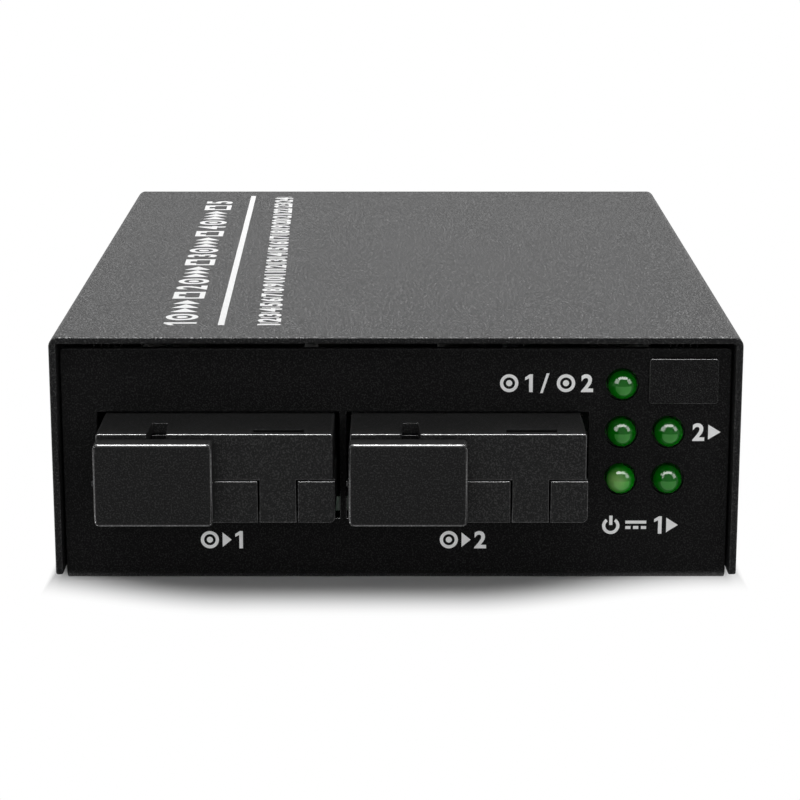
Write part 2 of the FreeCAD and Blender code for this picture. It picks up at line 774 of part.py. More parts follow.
def lower_housing(index, left):
    """Moulded lower half: floor, front blocks either side of the tongue, and two board feet."""
    body = new_body(f"transceiver_{index}_lower")
    add(body, "XZ", "0", "module_length", rectangle("0", "0", "module_width", "module_seam"))
    soften(body, "Fillet", "2 * module_edge", edges("Y", z=["0"]))
    cut(body, *chamber("module_floor", "module_seam"))
    cut(body, "XZ", "0", "port_depth", port_mouth("port_height - port_rise / 2", "module_seam"))
    collar = circle("port_centre", "port_height", "barrel_outside + barrel_gap")
    cut(body, "XZ", "port_depth", "port_depth + module_wall", collar)
    notch = rectangle("tongue_left - tongue_gap", "0", "tongue_right + tongue_gap", "module_seam")
    cut(body, "XZ", "0", "module_wall + tongue_gap / 2", notch)
    shadow = rectangle("0", "module_seam - seam_gap", "module_width", "module_seam")
    cut(body, "XZ", "0", "module_wall / 2", shadow)
    row, gap = "pin_pitch * pin_count / 2", "(pin_width / 2 + 2 * pin_clearance)"
    low, high = f"pin_place - {gap}", f"pin_place + {gap}"
    trench = rectangle(f"module_width / 2 - {row}", low, f"module_width / 2 + {row}", high)
    cut(body, "XY", "0", "module_floor", trench)
    feet = [circle(x, "foot_place", "foot_width") for x in foot_places("0")]
    add(body, "XY", "-foot_length", "0", *feet)
    low, high = "inner_board_front", "module_length - module_wall"
    for outer, inner in ((LEFT_WALL, LEFT_LEDGE), (RIGHT_LEDGE, RIGHT_WALL)):
        add(body, "XY", "module_floor", "inner_board_height", rectangle(outer, low, inner, high))
    return place(body, left, MODULE_FRONT, BOARD_TOP)


def inner_board(index, left):
    """Small circuit board on the ledges of the lower housing."""
    body = new_body(f"transceiver_{index}_board")
    side = "module_wall + inner_board_gap"
    shape = rectangle(side, "inner_board_front", f"module_width - ({side})", f"module_length - ({side})")
    add(body, "XY", "inner_board_height", "inner_board_height + inner_board_thickness", shape)
    return place(body, left, MODULE_FRONT, BOARD_TOP)


def pins(index, left):
    """Row of straight pins from the inner board down through the main board."""
    body = new_body(f"transceiver_{index}_pins")
    left_side, right_side = f"{PIN_FIRST} - pin_width / 2", f"{PIN_FIRST} + pin_width / 2"
    shape = rectangle(left_side, "pin_place - pin_width / 2", right_side, "pin_place + pin_width / 2")
    pin = add(body, "XY", "-pin_length", "inner_board_height", shape)
    repeat(body, pin, "X", "pin_pitch", "pin_count")
    return place(body, left, MODULE_FRONT, BOARD_TOP)


def barrel(index, left):
    """Turned optical barrel: ferrule sleeve in the port, flange and can in the chamber behind."""
    body = new_body(f"transceiver_{index}_barrel")
    mouth = "(port_depth - barrel_reach)"
    flange = "(port_depth + module_wall)"
    can = f"({flange} + barrel_flange_length)"
    half = [
        ("0", f"{mouth} + barrel_bore_depth"),
        ("barrel_bore", f"{mouth} + barrel_bore_depth"),
        ("barrel_bore", mouth),
        ("barrel_outside", mouth),
        ("barrel_outside", flange),
        ("barrel_flange", flange),
        ("barrel_flange", can),
        ("barrel_body", can),
        ("barrel_body", f"{can} + barrel_body_length"),
        ("0", f"{can} + barrel_body_length"),
    ]
    turn(body, "XY", "V_Axis", outline(*half))
    return place(body, f"{left} + port_centre", MODULE_FRONT, f"{BOARD_TOP} + port_height")


def hooks(index, left):
    """Latch insert at the back of the port: a plate round the barrel with two sprung hooks."""
    body = new_body(f"transceiver_{index}_hooks")
    back, front = "port_depth", "(port_depth - hook_plate)"
    side, rise = "(port_width / 2 - barrel_gap)", "(port_rise / 2 - barrel_gap)"
    add(body, "XZ", front, back, rectangle(f"-{side}", f"-{rise}", side, rise))
    tip = f"({front} - hook_reach)"
    for sign in ("", "-"):
        arm = [
            ("hook_inside", front),
            ("hook_inside + hook_thickness", front),
            ("hook_inside + hook_thickness", tip),
            ("hook_inside", tip),
            ("hook_inside - hook_nose", f"{tip} + hook_thickness"),
            ("hook_inside - hook_nose", f"{tip} + 2 * hook_thickness"),
            ("hook_inside", f"{tip} + 2 * hook_thickness"),
        ]
        points = [(f"{sign}({x})", y) for x, y in arm]
        add(body, "XY", "-hook_height / 2", "hook_height / 2", outline(*points))
    cut(body, "XZ", front, back, circle("0", "0", "barrel_outside + barrel_gap"))
    return place(body, f"{left} + port_centre", MODULE_FRONT, f"{BOARD_TOP} + port_height")


def dust_cap(index, left):
    """Moulded plug: a square front block and two rails that slip in above and below the hooks."""
    body = new_body(f"transceiver_{index}_dust_cap")
    side, rise = "cap_width / 2", "cap_height / 2"
    add(body, "XZ", "-cap_proud", "-cap_gap", rectangle(f"-{side}", f"-{rise}", side, rise))
    soften(body, "Fillet", "cap_corner", edges("Y"))
    soften(body, "Chamfer", "cap_edge", lambda edge: edge.BoundBox.YMax < number("cap_edge - cap_proud"))
    skirt_side, skirt_rise = "(port_width / 2 - cap_fit)", "(port_rise / 2 - cap_fit)"
    for sign in ("", "-"):
        rail = [
            (f"-{skirt_side}", f"{sign}cap_slot / 2"),
            (f"-{skirt_side}", f"{sign}{skirt_rise}"),
            (skirt_side, f"{sign}{skirt_rise}"),
            (skirt_side, f"{sign}cap_slot / 2"),
        ]
        add(body, "XZ", "-cap_gap", "cap_skirt", outline(*rail))
    cut(body, "XZ", "0", "cap_skirt", circle("0", "0", "cap_bore"))
    # the upper rail leaves the key way free, and the gate's stub is left on the block's side
    cut(body, "XY", "cap_slot / 2", rise, key_slot("key_offset", "cap_fit"))
    stub = rectangle(f"-{side} - cap_nub", "-cap_nub_height / 2", f"-{side}", "cap_nub_height / 2")
    add(body, "XZ", "-cap_proud + cap_nub_inset", "-cap_gap - cap_nub_inset", stub)
    return place(body, f"{left} + port_centre", MODULE_FRONT, f"{BOARD_TOP} + port_height")


# ---- indicators ----


def led(name, x, z):
    """Round indicator lying on its side, its dome through the panel."""
    body = new_body(name)
    shoulder = "(led_length - led_flange_length)"
    half = [
        ("0", "0"),
        ("led_radius", "0"),
        ("led_radius", shoulder),
        ("led_flange", shoulder),
        ("led_flange", "led_length"),
        ("0", "led_length"),
    ]
    turn(body, "XY", "V_Axis", outline(*half))
    soften(body, "Fillet", "led_radius * 0.98", lambda edge: edge.BoundBox.YMax < 0.01)
    return place(body, x, f"{PANEL_FRONT} - led_proud", z)


def led_holder():
    """Moulded block behind the panel that carries the indicators over the board."""
    body = new_body("led_holder")
    left = "(led_column - led_flange - holder_wall)"
    step = "(led_column + led_flange + holder_wall)"
    right = "(led_column + led_across + led_flange + holder_wall)"
    low_top = "(led_row + led_up + led_flange + holder_wall)"
    top = "(led_row + 2 * led_up + led_flange + holder_wall)"
    corners = [(right, BOARD_TOP), (right, low_top), (step, low_top), (step, top), (left, top)]
    shape = outline((left, BOARD_TOP), *corners)
    front, back = f"({PANEL_FRONT} + sheet_steel + holder_margin)", f"({LED_BACK} - led_flange_length)"
    add(body, "XZ", front, back, shape)
    cut(body, "XZ", front, back, *[circle(x, z, "led_radius + led_fit") for x, z in LEDS.values()])
    return body


def lead_bend(z):
    """How far back an indicator's wires bend: the higher it is, the further, to pass the lower ones."""
    return f"({LED_BACK} + lead_run + lead_step * ({z} - led_row) / led_up)"


def lead_middles(x):
    """The middles of an indicator's two wires."""
    return [f"({x} {side} lead_pitch / 2)" for side in "-+"]


def led_leads():
    """Two bent wires from the back of each indicator down through the board."""
    body = new_body("led_leads")
    for x, z in LEDS.values():
        bend = lead_bend(z)
        tail = f"({BOARD_TOP} - lead_tail)"
        wire = [
            (LED_BACK, f"{z} - lead_width / 2"),
            (bend, f"{z} - lead_width / 2"),
            (bend, tail),
            (f"{bend} + lead_width", tail),
            (f"{bend} + lead_width", f"{z} + lead_width / 2"),
            (LED_BACK, f"{z} + lead_width / 2"),
        ]
        for middle in lead_middles(x):
            add(body, "YZ", f"{middle} - lead_width / 2", f"{middle} + lead_width / 2", outline(*wire))
    return body


# ---- copper ports: built about the middle of the mouth's lower edge, opening towards +Y ----


def plug_mouth(margin="0"):
    """Outline of the copper port's mouth with the room for the plug's latch above it."""
    half, key = f"(plug_width / 2 + {margin})", f"(plug_key_width / 2 + {margin})"
    low, top, key_top = f"plug_floor - {margin}", f"plug_top + {margin}", f"plug_key_top + {margin}"
    return outline(
        (f"-{half}", low),
        (half, low),
        (half, top),
        (key, top),
        (key, key_top),
        (f"-{key}", key_top),
        (f"-{key}", top),
        (f"-{half}", top),
    )


def jack_housing(index, middle):
    """Moulded insert of a copper port with its mouth and the channels for the contacts."""
    body = new_body(f"copper_port_{index}_housing")
    half = "(jack_width / 2 - shield_sheet)"
    block = rectangle(f"-{half}", "0", half, "jack_height - shield_sheet")
    add(body, "XZ", "shield_sheet - jack_length", "-shield_sheet", block)
    cut(body, "XZ", "-plug_depth", "-shield_sheet", plug_mouth())
    back = f"-{CONTACT_TAIL_REAR}"
    front = f"{back} + contact_sheet + pin_clearance"
    channel = rectangle(f"-{CONTACT_SPAN}", f"{back} - pin_clearance", CONTACT_SPAN, front)
    cut(body, "XY", "0", "plug_floor", channel)
    return place(body, middle, JACK_FACE, BOARD_TOP)


def jack_shield(index, middle):
    """Thin folded shield round the insert, with two tabs into the board."""
    body = new_body(f"copper_port_{index}_shield")
    half, inner = "jack_width / 2", "(jack_width / 2 - shield_sheet)"
    add(body, "XZ", "-jack_length", "0", rectangle(f"-{half}", "0", half, "jack_height"))
    soften(body, "Fillet", "shield_sheet * 2", edges("Y", z=["jack_height"]))
    inside = rectangle(f"-{inner}", "shield_sheet - jack_length", inner, "-shield_sheet")
    cut(body, "XY", "0", "jack_height - shield_sheet", inside)
    cut(body, "XZ", "-shield_sheet", "0", plug_mouth("shield_sheet"))
    back = "-shield_tab_place - shield_tab_width"
    for low, high in ((f"-{half}", f"-{inner}"), (inner, half)):
        add(body, "YZ", low, high, rectangle(back, "-contact_tail", "-shield_tab_place", "0"))
    return place(body, middle, JACK_FACE, BOARD_TOP)


def jack_contacts(index, middle):
    """Eight sprung wires along the floor of the mouth, their tails down through the board."""
    body = new_body(f"copper_port_{index}_contacts")
    rear, floor = f"-{CONTACT_TAIL_REAR}", "plug_floor"
    wire = [
        (rear, "-contact_tail"),
        (f"{rear} + contact_sheet", "-contact_tail"),
        (f"{rear} + contact_sheet", floor),
        ("-contact_front", floor),
        ("-contact_back", f"{floor} + contact_rise + contact_sheet"),
        ("-contact_back", f"{floor} + contact_rise"),
        ("-contact_front - 4 * contact_sheet", f"{floor} + contact_sheet"),
        (rear, f"{floor} + contact_sheet"),
    ]
    first = "-contact_pitch * (contact_count - 1) / 2"
    low, high = f"{first} - contact_width / 2", f"{first} + contact_width / 2"
    strip = add(body, "YZ", low, high, outline(*wire))
    repeat(body, strip, "X", "contact_pitch", "contact_count")
    return place(body, middle, JACK_FACE, BOARD_TOP)


# ---- power inlet: built like the copper ports ----


def inlet_body():
    """Moulded power inlet: a tall front, a lower back and a round bore for the plug."""
    body = new_body("power_inlet_body")
    half = "inlet_width / 2"
    side = outline(
        ("-inlet_length", "0"),
        ("0", "0"),
        ("0", "inlet_height"),
        ("-inlet_front", "inlet_height"),
        ("-inlet_front", "inlet_height - inlet_shoulder"),
        ("-inlet_length", "inlet_height - inlet_shoulder"),
    )
    add(body, "YZ", f"-{half}", half, side)
    soften(body, "Fillet", "2 * inlet_shoulder", edges("Y", z=["inlet_height - inlet_shoulder"]))
    cut(body, "XZ", "-inlet_depth", "0", circle("0", "inlet_axis", "inlet_bore"))
    seat = circle("0", "inlet_axis", "inlet_root + screw_clearance")
    cut(body, "XZ", "-inlet_length", "-inlet_depth", seat)
    groove = rectangle(
        "-inlet_spring_width / 2 - screw_clearance",
        "inlet_axis - inlet_bore - 2 * inlet_spring_sheet",
        "inlet_spring_width / 2 + screw_clearance",
        "inlet_axis - inlet_bore / 2",
    )
    cut(body, "XZ", "-inlet_length", "-inlet_front", groove)
    return place(body, "inlet_place", JACK_FACE, BOARD_TOP)


def inlet_pin():
    """Turned centre pin with a thicker root in the body and its solder tab behind."""
    body = new_body("power_inlet_pin")
    back = "(inlet_length + inlet_tab_sheet)"
    add(body, "XZ", "-inlet_length", "-inlet_depth", circle("0", "inlet_axis", "inlet_root"))
    add(body, "XZ", "-inlet_depth", "-inlet_pin_inset", circle("0", "inlet_axis", "inlet_pin"))
    soften(body, "Chamfer", "inlet_pin / 3", rings(y=["-inlet_pin_inset"]))
    half = "inlet_tab_width / 2"
    add(body, "XZ", f"-{back}", "-inlet_length", rectangle(f"-{half}", "0", half, f"inlet_axis + {half}"))
    return place(body, "inlet_place", JACK_FACE, BOARD_TOP)


def inlet_spring():
    """Sprung strip under the bore that touches the plug's sleeve."""
    body = new_body("power_inlet_spring")
    low = "(inlet_axis - inlet_bore - 2 * inlet_spring_sheet)"
    high = f"({low} + inlet_spring_sheet)"
    strip = [
        ("-inlet_length", low),
        ("-inlet_front - screw_clearance", low),
        ("-inlet_front - screw_clearance", high),
        ("-inlet_front - 1.5", f"{high} + 2 * inlet_spring_sheet"),
        ("-inlet_front - 3.5", f"{high} + 2 * inlet_spring_sheet"),
        ("-inlet_front - 5.5", high),
        ("-inlet_length", high),
    ]
    half = "inlet_spring_width / 2"
    add(body, "YZ", f"-{half}", half, outline(*strip))
    return place(body, "inlet_place", JACK_FACE, BOARD_TOP)


# ---- parts on the main board ----


def chip(name):
    """Plain moulded package with chamfered upper edges, flat on the board."""
    body = new_body(name)
    half, deep = f"{name}_wide / 2", f"{name}_deep / 2"
    add(body, "XY", "0", f"{name}_tall", rectangle(f"-{half}", f"-{deep}", half, deep))
    top = [f"{name}_tall"]
    soften(body, "Chamfer", "chip_chamfer", edges("X", z=top), edges("Y", z=top))
    return place(body, f"{name}_x", f"{name}_y", BOARD_TOP)


def crystal():
    """Oval metal can of the clock crystal."""
    body = new_body("crystal")
    half, deep = "crystal_wide / 2", "crystal_deep / 2"
    add(body, "XY", "0", "crystal_tall", slot("0", f"-{half}", half, "crystal_deep"))
    return place(body, "crystal_x", "crystal_y", BOARD_TOP)


def capacitors():
    """Row of round electrolytic capacitors with the groove rolled into each can."""
    body = new_body("capacitors")
    groove = "capacitor_radius - capacitor_groove"
    low, high = "capacitor_groove_height", "(capacitor_groove_height + 2 * capacitor_groove)"
    half = [
        ("0", "0"),
        ("capacitor_radius", "0"),
        ("capacitor_radius", low),
        (groove, f"{low} + capacitor_groove"),
        ("capacitor_radius", high),
        ("capacitor_radius", "capacitor_tall"),
        ("0", "capacitor_tall"),
    ]
    can = turn(body, "XZ", "V_Axis", outline(*half))
    repeat(body, can, "Y", "capacitor_pitch", "capacitor_count")
    return place(body, "capacitor_x", "capacitor_y", BOARD_TOP)


def build():
    """Make every piece of the converter."""
    cover()
    chassis_tray()
    cover_screws()
    standoffs()
    board_screws()
    main_board()
    blank_plate()
    for index, left in enumerate(MODULES, 1):
        for piece in (upper_housing, lower_housing, inner_board, pins, barrel, hooks, dust_cap):
            piece(index, left)
    for name, (x, z) in LEDS.items():
        led(name, x, z)
    led_holder()
    led_leads()
    for index, middle in enumerate(JACKS, 1):
        for piece in (jack_housing, jack_shield, jack_contacts):
            piece(index, middle)
    inlet_body()
    inlet_pin()
    inlet_spring()
    for name in ("switch_chip", "magnetics_first", "magnetics_second", "regulator", "inductor"):
        chip(name)
    crystal()
    capacitors()
    doc.recompute()


def check_and_write():
    """Refuse a failed feature or a broken shape, then write one file for each piece."""
    for item in doc.Objects:
        if "Invalid" in item.State or "Error" in item.State:
            raise ValueError(f"{item.Label} is {item.State}")
    for pocket in doc.findObjects("PartDesign::Pocket"):
        if pocket.Shape.Volume >= pocket.BaseFeature.Shape.Volume - 1e-6:
            raise ValueError(f"{pocket.Label} cuts nothing")
    bodies = doc.findObjects("PartDesign::Body")
    for body in bodies:
        if body.Shape.isNull() or not body.Shape.isValid():
            raise ValueError(f"{body.Label} has no sound shape")
    os.makedirs("parts", exist_ok=True)
    for body in bodies:
        body.Shape.exportStep(f"parts/{body.Label}.step")
        print(f"{body.Label:32} solids {len(body.Shape.Solids):3} volume {body.Shape.Volume:10.2f}")


build()
check_and_write()
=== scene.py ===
"""Studio looks for a small steel fibre media converter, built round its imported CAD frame."""

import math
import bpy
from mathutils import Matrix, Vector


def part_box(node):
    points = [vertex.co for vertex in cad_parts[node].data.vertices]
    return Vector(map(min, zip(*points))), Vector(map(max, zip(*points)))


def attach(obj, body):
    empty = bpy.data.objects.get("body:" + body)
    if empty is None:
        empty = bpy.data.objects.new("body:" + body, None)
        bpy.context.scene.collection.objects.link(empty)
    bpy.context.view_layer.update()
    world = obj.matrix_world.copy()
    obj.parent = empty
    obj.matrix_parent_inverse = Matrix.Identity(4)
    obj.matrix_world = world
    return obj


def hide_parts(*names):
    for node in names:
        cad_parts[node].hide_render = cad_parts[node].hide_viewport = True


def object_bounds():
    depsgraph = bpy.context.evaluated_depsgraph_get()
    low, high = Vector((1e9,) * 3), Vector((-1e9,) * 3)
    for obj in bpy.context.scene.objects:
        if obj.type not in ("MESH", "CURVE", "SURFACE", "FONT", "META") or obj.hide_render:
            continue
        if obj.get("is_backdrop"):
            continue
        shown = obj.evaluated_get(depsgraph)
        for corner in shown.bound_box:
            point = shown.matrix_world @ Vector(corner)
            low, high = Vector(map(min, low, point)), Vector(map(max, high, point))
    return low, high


bl_info = {
    "name": "Fibre media converter",
    "version": (1, 0, 0),
    "blender": (4, 5, 0),
    "location": "3D View > Sidebar > Converter",
    "description": "Fine shapes, finishes and studio of a fibre media converter",
    "category": "Object",
}

import bmesh
import bpy
from bpy.props import FloatProperty, FloatVectorProperty, IntProperty, PointerProperty
from mathutils import Euler, Matrix, Vector

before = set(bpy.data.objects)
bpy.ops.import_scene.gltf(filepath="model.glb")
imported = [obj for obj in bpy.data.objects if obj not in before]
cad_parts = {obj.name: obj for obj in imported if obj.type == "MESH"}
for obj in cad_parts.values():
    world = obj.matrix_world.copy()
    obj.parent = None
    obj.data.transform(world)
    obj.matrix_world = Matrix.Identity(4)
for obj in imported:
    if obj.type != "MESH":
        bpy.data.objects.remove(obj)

MM = 0.001
MERGE = 1e-6  # metres within which two points count as one
ON_PLANE = 1e-7  # metres within which a point lies on a plane
FLAT = math.radians(0.5)
SHARP = math.radians(28)
FLAT_FACES_FIRST = 100  # weight that lets the largest faces set the shading
DIRECT_RAYS = ("Camera", "Glossy", "Transmission")
MIX_FIRST, MIX_SECOND, MIX_RESULT = 6, 7, 2  # the colour sockets of a Mix node
CASE_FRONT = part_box("cover")[0].y
PANEL_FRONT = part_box("chassis_tray")[0].y
LID_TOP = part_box("cover")[1].z
INDICATORS = ["led_right_low", "led_left_middle", "led_right_middle", "led_left_top"]
CAPS = {"transceiver_1_dust_cap": "cap_1", "transceiver_2_dust_cap": "cap_2"}


# ---- sizes and colours that a user would change ----


def length_property(name, description, millimetres):
    return FloatProperty(name=name, description=description, default=millimetres * MM, unit="LENGTH")


def colour_property(name, description, default):
    return FloatVectorProperty(name=name, description=description, default=default, subtype="COLOR")


class ConverterSizes(bpy.types.PropertyGroup):
    """Fine sizes that the frame leaves to the looks."""

    cover_edge: length_property("Cover edge", "Rounding of the cover's coated edges", 0.22)
    sheet_edge: length_property("Sheet edge", "Rounding of the panel's coated edges", 0.12)
    plastic_edge: length_property("Plastic edge", "Rounding of moulded edges", 0.13)
    latch_sink: length_property("Latch depth", "Depth of a housing's latch recess", 1.0)
    latch_lean: length_property("Latch lean", "How far that recess runs back under its rim", 0.9)
    metal_edge: length_property("Metal edge", "Rounding of turned and stamped metal", 0.05)
    ink: length_property("Ink thickness", "How far the print stands on the coat", 0.015)
    legend: length_property("Legend height", "Height of the signs on the front panel", 1.95)
    lid_sign: length_property("Lid sign height", "Height of the row of signs on the lid", 3.55)
    lid_turn: FloatProperty(
        name="Lid print turn",
        description="How far the lid's print is turned",
        default=math.radians(0.8),
        subtype="ANGLE",
    )
    coat_grain: length_property("Coat grain", "Size of the powder coat's grain", 0.24)
    plastic_grain: length_property("Plastic grain", "Size of the grain moulded into the plastic", 0.2)
    lens_radius: length_property("Lens radius", "Radius of an indicator's dome", 1.54)
    lens_segments: IntProperty(
        name="Lens segments", description="Facets round an indicator", default=64, min=12
    )


class ConverterColours(bpy.types.PropertyGroup):
    """Colours of the finishes."""

    coat: colour_property("Cover coat", "Black powder coat of the cover", (0.0052, 0.0052, 0.0055))
    panel: colour_property("Panel coat", "Matt black coat of the panels", (0.0034, 0.0034, 0.0035))
    plastic: colour_property("Moulded plastic", "Housings and caps", (0.0058, 0.0059, 0.006))
    lens: colour_property("Green lens", "Tinted indicators", (0.001, 0.125, 0.002))
    pale_lens: colour_property("Pale lens", "Milky heart of the power indicator", (0.3, 0.5, 0.17))
    ink: colour_property("Ink", "Printed signs", (0.9, 0.9, 0.9))
    # painted shade: the solder mask is darker than its green, so that the boards seen inside the case lie
    # in shade
    board: colour_property("Solder mask", "Circuit boards", (0.0015, 0.014, 0.005))


# ---- node trees ----


def spaced(named):
    """The same values, their names with spaces for underscores."""
    return {name.replace("_", " "): given for name, given in named.items()}


def node_for(operation, swapped=False):
    """A method of Value that adds one Math node; swapped makes an operator's reflected form."""

    def apply(self, *others):
        values = (self, *others)
        return self.maths(operation, *(reversed(values) if swapped else values))

    return apply


class Value:
    """A number socket that adds Math nodes when it is used in an expression."""

    def __init__(self, graph, socket):
        self.graph, self.socket = graph, socket

    def maths(self, operation, *values, clamp=False):
        settings = {"operation": operation, "use_clamp": clamp}
        return self.graph.value("ShaderNodeMath", settings, dict(enumerate(values)))

    __add__ = __radd__ = node_for("ADD")
    __mul__ = __rmul__ = node_for("MULTIPLY")
    __sub__, __rsub__ = node_for("SUBTRACT"), node_for("SUBTRACT", swapped=True)
    __truediv__, __rtruediv__ = node_for("DIVIDE"), node_for("DIVIDE", swapped=True)
    __gt__ = node_for("GREATER_THAN")
    __abs__ = node_for("ABSOLUTE")
    larger = node_for("MAXIMUM")
    sine = node_for("SINE")
    root = node_for("SQRT")

    def clamped(self):
        return self.maths("ADD", self, 0.0, clamp=True)


class Graph:
    """A node tree filled by naming each node's type, settings and sockets."""

    def __init__(self, tree):
        self.tree = tree
        tree.nodes.clear()

    @staticmethod
    def source(given):
        """The socket behind a Value or a node, whose first output it is, or the plain value."""
        if isinstance(given, Value):
            return given.socket
        return given.outputs[0] if isinstance(given, bpy.types.Node) else given

    def join(self, given, socket):
        """Link a source to a socket, or set the socket to a plain value."""
        given = self.source(given)
        if isinstance(given, bpy.types.NodeSocket):
            self.tree.links.new(given, socket)
        else:
            socket.default_value = given

    def node(self, kind, settings=None, sockets=None):
        """Add a node; a socket takes a plain value, a Value, a node or a node's socket."""
        node = self.tree.nodes.new(kind)
        for name, setting in (settings or {}).items():
            if name == "stops":
                self.stops(node.color_ramp, setting)
            else:
                setattr(node, name, setting)
        for name, given in (sockets or {}).items():
            self.join(given, node.inputs[name])
        return node

    def value(self, kind, settings=None, sockets=None, output=0):
        """Add a node and wrap one of its number outputs."""
        return Value(self, self.node(kind, settings, sockets).outputs[output])

    def axes(self, vector):
        """The three parts of a vector."""
        split = self.node("ShaderNodeSeparateXYZ", {}, {"Vector": vector})
        return [Value(self, part) for part in split.outputs]

    def between(self, value, start, end, low, high):
        """A smooth step of the value from one level to another."""
        settings = {"interpolation_type": "SMOOTHSTEP"}
        return self.value("ShaderNodeMapRange", settings, {0: value, 1: start, 2: end, 3: low, 4: high})

    @staticmethod
    def stops(ramp, stops):
        """Set a ramp's two grey stops, each given as its place and its level."""
        for element, (place, level) in zip(ramp.elements, stops):
            element.position = place
            element.color = (level, level, level, 1.0)


class Finish(Graph):
    """A material whose pattern follows Object coordinates.

    Wherever sockets are given by keyword, an underscore in a name stands for a space.
    """

    def __init__(self, name, **shader):
        self.material = bpy.data.materials.new(name)
        self.material.use_nodes = True
        super().__init__(self.material.node_tree)
        self.shader = self.node("ShaderNodeBsdfPrincipled", {}, spaced(shader))
        self.output = self.node("ShaderNodeOutputMaterial", {}, {"Surface": self.shader})
        self.place = self.node("ShaderNodeTexCoord").outputs["Object"]

    def stretched(self, *scale):
        """Object coordinates squeezed along each axis, for brushed or drawn patterns."""
        return self.node("ShaderNodeMapping", {}, {"Vector": self.place, "Scale": scale})

    def turned(self, *angles):
        """Object coordinates turned off the axes, so that a fine noise shows no rows."""
        return self.node("ShaderNodeMapping", {}, {"Vector": self.place, "Rotation": angles})

    def noise(self, size, detail=2.0, rough=0.5, place=None):
        """Cloudy grain of a given size."""
        sockets = {"Vector": place or self.place, "Scale": 1 / size, "Detail": detail, "Roughness": rough}
        return self.value("ShaderNodeTexNoise", {}, sockets, "Fac")

    def cells(self, size, feature="F1"):
        """Distance from the hearts of scattered cells, or from the edges between them."""
        sockets = {"Vector": self.place, "Scale": 1 / size}
        return self.value("ShaderNodeTexVoronoi", {"feature": feature}, sockets, "Distance")

    def facing(self):
        """The three parts of the surface's normal."""
        return self.axes(self.node("ShaderNodeNewGeometry").outputs["Normal"])

    def edges(self, gain=7):
        """One along rounded edges and nothing on faces square to an axis."""
        x, y, z = self.facing()
        return ((1 - abs(x).larger(abs(y)).larger(abs(z))) * gain).clamped()

    def ramp(self, value, *stops):
        return self.value("ShaderNodeValToRGB", {"stops": stops}, {"Fac": value}, "Color")

    def mix(self, factor, first, second):
        """A colour between two colours, each a tuple or another node's socket."""
        node = self.node("ShaderNodeMix", {"data_type": "RGBA"}, {"Factor": factor})
        for index, given in ((MIX_FIRST, first), (MIX_SECOND, second)):
            self.join((*given, 1.0) if isinstance(given, tuple) else given, node.inputs[index])
        return node.outputs[MIX_RESULT]

    def feed(self, **sockets):
        """Link sockets of the shader."""
        for name, given in spaced(sockets).items():
            self.join(given, self.shader.inputs[name])

    def bump(self, height, depth):
        """Raise the surface by the height given, which is one at the full depth."""
        self.feed(Normal=self.node("ShaderNodeBump", {}, {"Height": height, "Distance": depth}))


class Growth(Graph):
    """A geometry tree with named inputs, which ends in Realize Instances and Set Material."""

    def __init__(self, name):
        super().__init__(bpy.data.node_groups.new(name, "GeometryNodeTree"))
        self.names = {}
        self.tree.interface.new_socket("Geometry", in_out="INPUT", socket_type="NodeSocketGeometry")
        self.tree.interface.new_socket("Geometry", in_out="OUTPUT", socket_type="NodeSocketGeometry")
        self.inputs = self.node("NodeGroupInput")
        self.start = self.inputs.outputs["Geometry"]

    def input(self, name, kind, default):
        """Add a named input and give its socket."""
        socket = self.tree.interface.new_socket(name, in_out="INPUT", socket_type=f"NodeSocket{kind}")
        if default is not None:
            socket.default_value = default
        self.names[name] = socket.identifier
        found = self.inputs.outputs[name]
        return found if kind == "Material" else Value(self, found)

    def sizes(self, **defaults):
        """Add inputs for sizes, their defaults in millimetres."""
        return [self.input(name, "Float", size * MM) for name, size in spaced(defaults).items()]

    def vector(self, **parts):
        return self.node("ShaderNodeCombineXYZ", {}, parts)

    def moved(self, geometry, **sockets):
        return self.node("GeometryNodeTransform", {}, {"Geometry": geometry, **sockets})

    def gather(self, kind, settings, socket, *parts):
        """Add a node that takes several parts in one socket."""
        node = self.node(kind, settings)
        for part in parts:
            self.join(part, node.inputs[socket])
        return node

    def close(self, geometry):
        """End the tree with what it has built."""
        material = self.input("Material", "Material", None)
        real = self.node("GeometryNodeRealizeInstances", {}, {"Geometry": geometry})
        done = self.node("GeometryNodeSetMaterial", {}, {"Geometry": real, "Material": material})
        self.node("NodeGroupOutput", {}, {"Geometry": done})

    def grow(self, start, material, **values):
        """The plain mesh that the tree grows from a starting mesh."""
        seed = shown("seed", start)
        modifier = seed.modifiers.new(self.tree.name, "NODES")
        modifier.node_group = self.tree
        modifier[self.names["Material"]] = material
        for name, given in spaced(values).items():
            modifier[self.names[name]] = given
        return plain(seed)


# ---- meshes ----


def shown(name, data):
    """A new object in the scene."""
    piece = bpy.data.objects.new(name, data)
    bpy.context.scene.collection.objects.link(piece)
    return piece


def plain(piece):
    """A passing piece's mesh as its modifiers leave it; the piece and its modifiers go."""
    bpy.context.view_layer.update()
    evaluated = piece.evaluated_get(bpy.context.evaluated_depsgraph_get())
    mesh = bpy.data.meshes.new_from_object(evaluated)
    piece.modifiers.clear()
    bpy.data.objects.remove(piece)
    return mesh


def middle_of(node):
    """The middle of a CAD node's box."""
    low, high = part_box(node)
    return (low + high) / 2


def merged(node):
    """A closed copy of a CAD node's mesh, its flat faces joined."""
    copy = bmesh.new()
    copy.from_mesh(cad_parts[node].data)
    bmesh.ops.remove_doubles(copy, verts=copy.verts, dist=MERGE)
    bmesh.ops.dissolve_limit(
        copy, angle_limit=FLAT, verts=copy.verts, edges=copy.edges, use_dissolve_boundaries=False
    )
    return copy


def to_mesh(shape, name):
    """The shape as a named mesh; the shape is freed."""
    mesh = bpy.data.meshes.new(name)
    shape.to_mesh(mesh)
    shape.free()
    return mesh


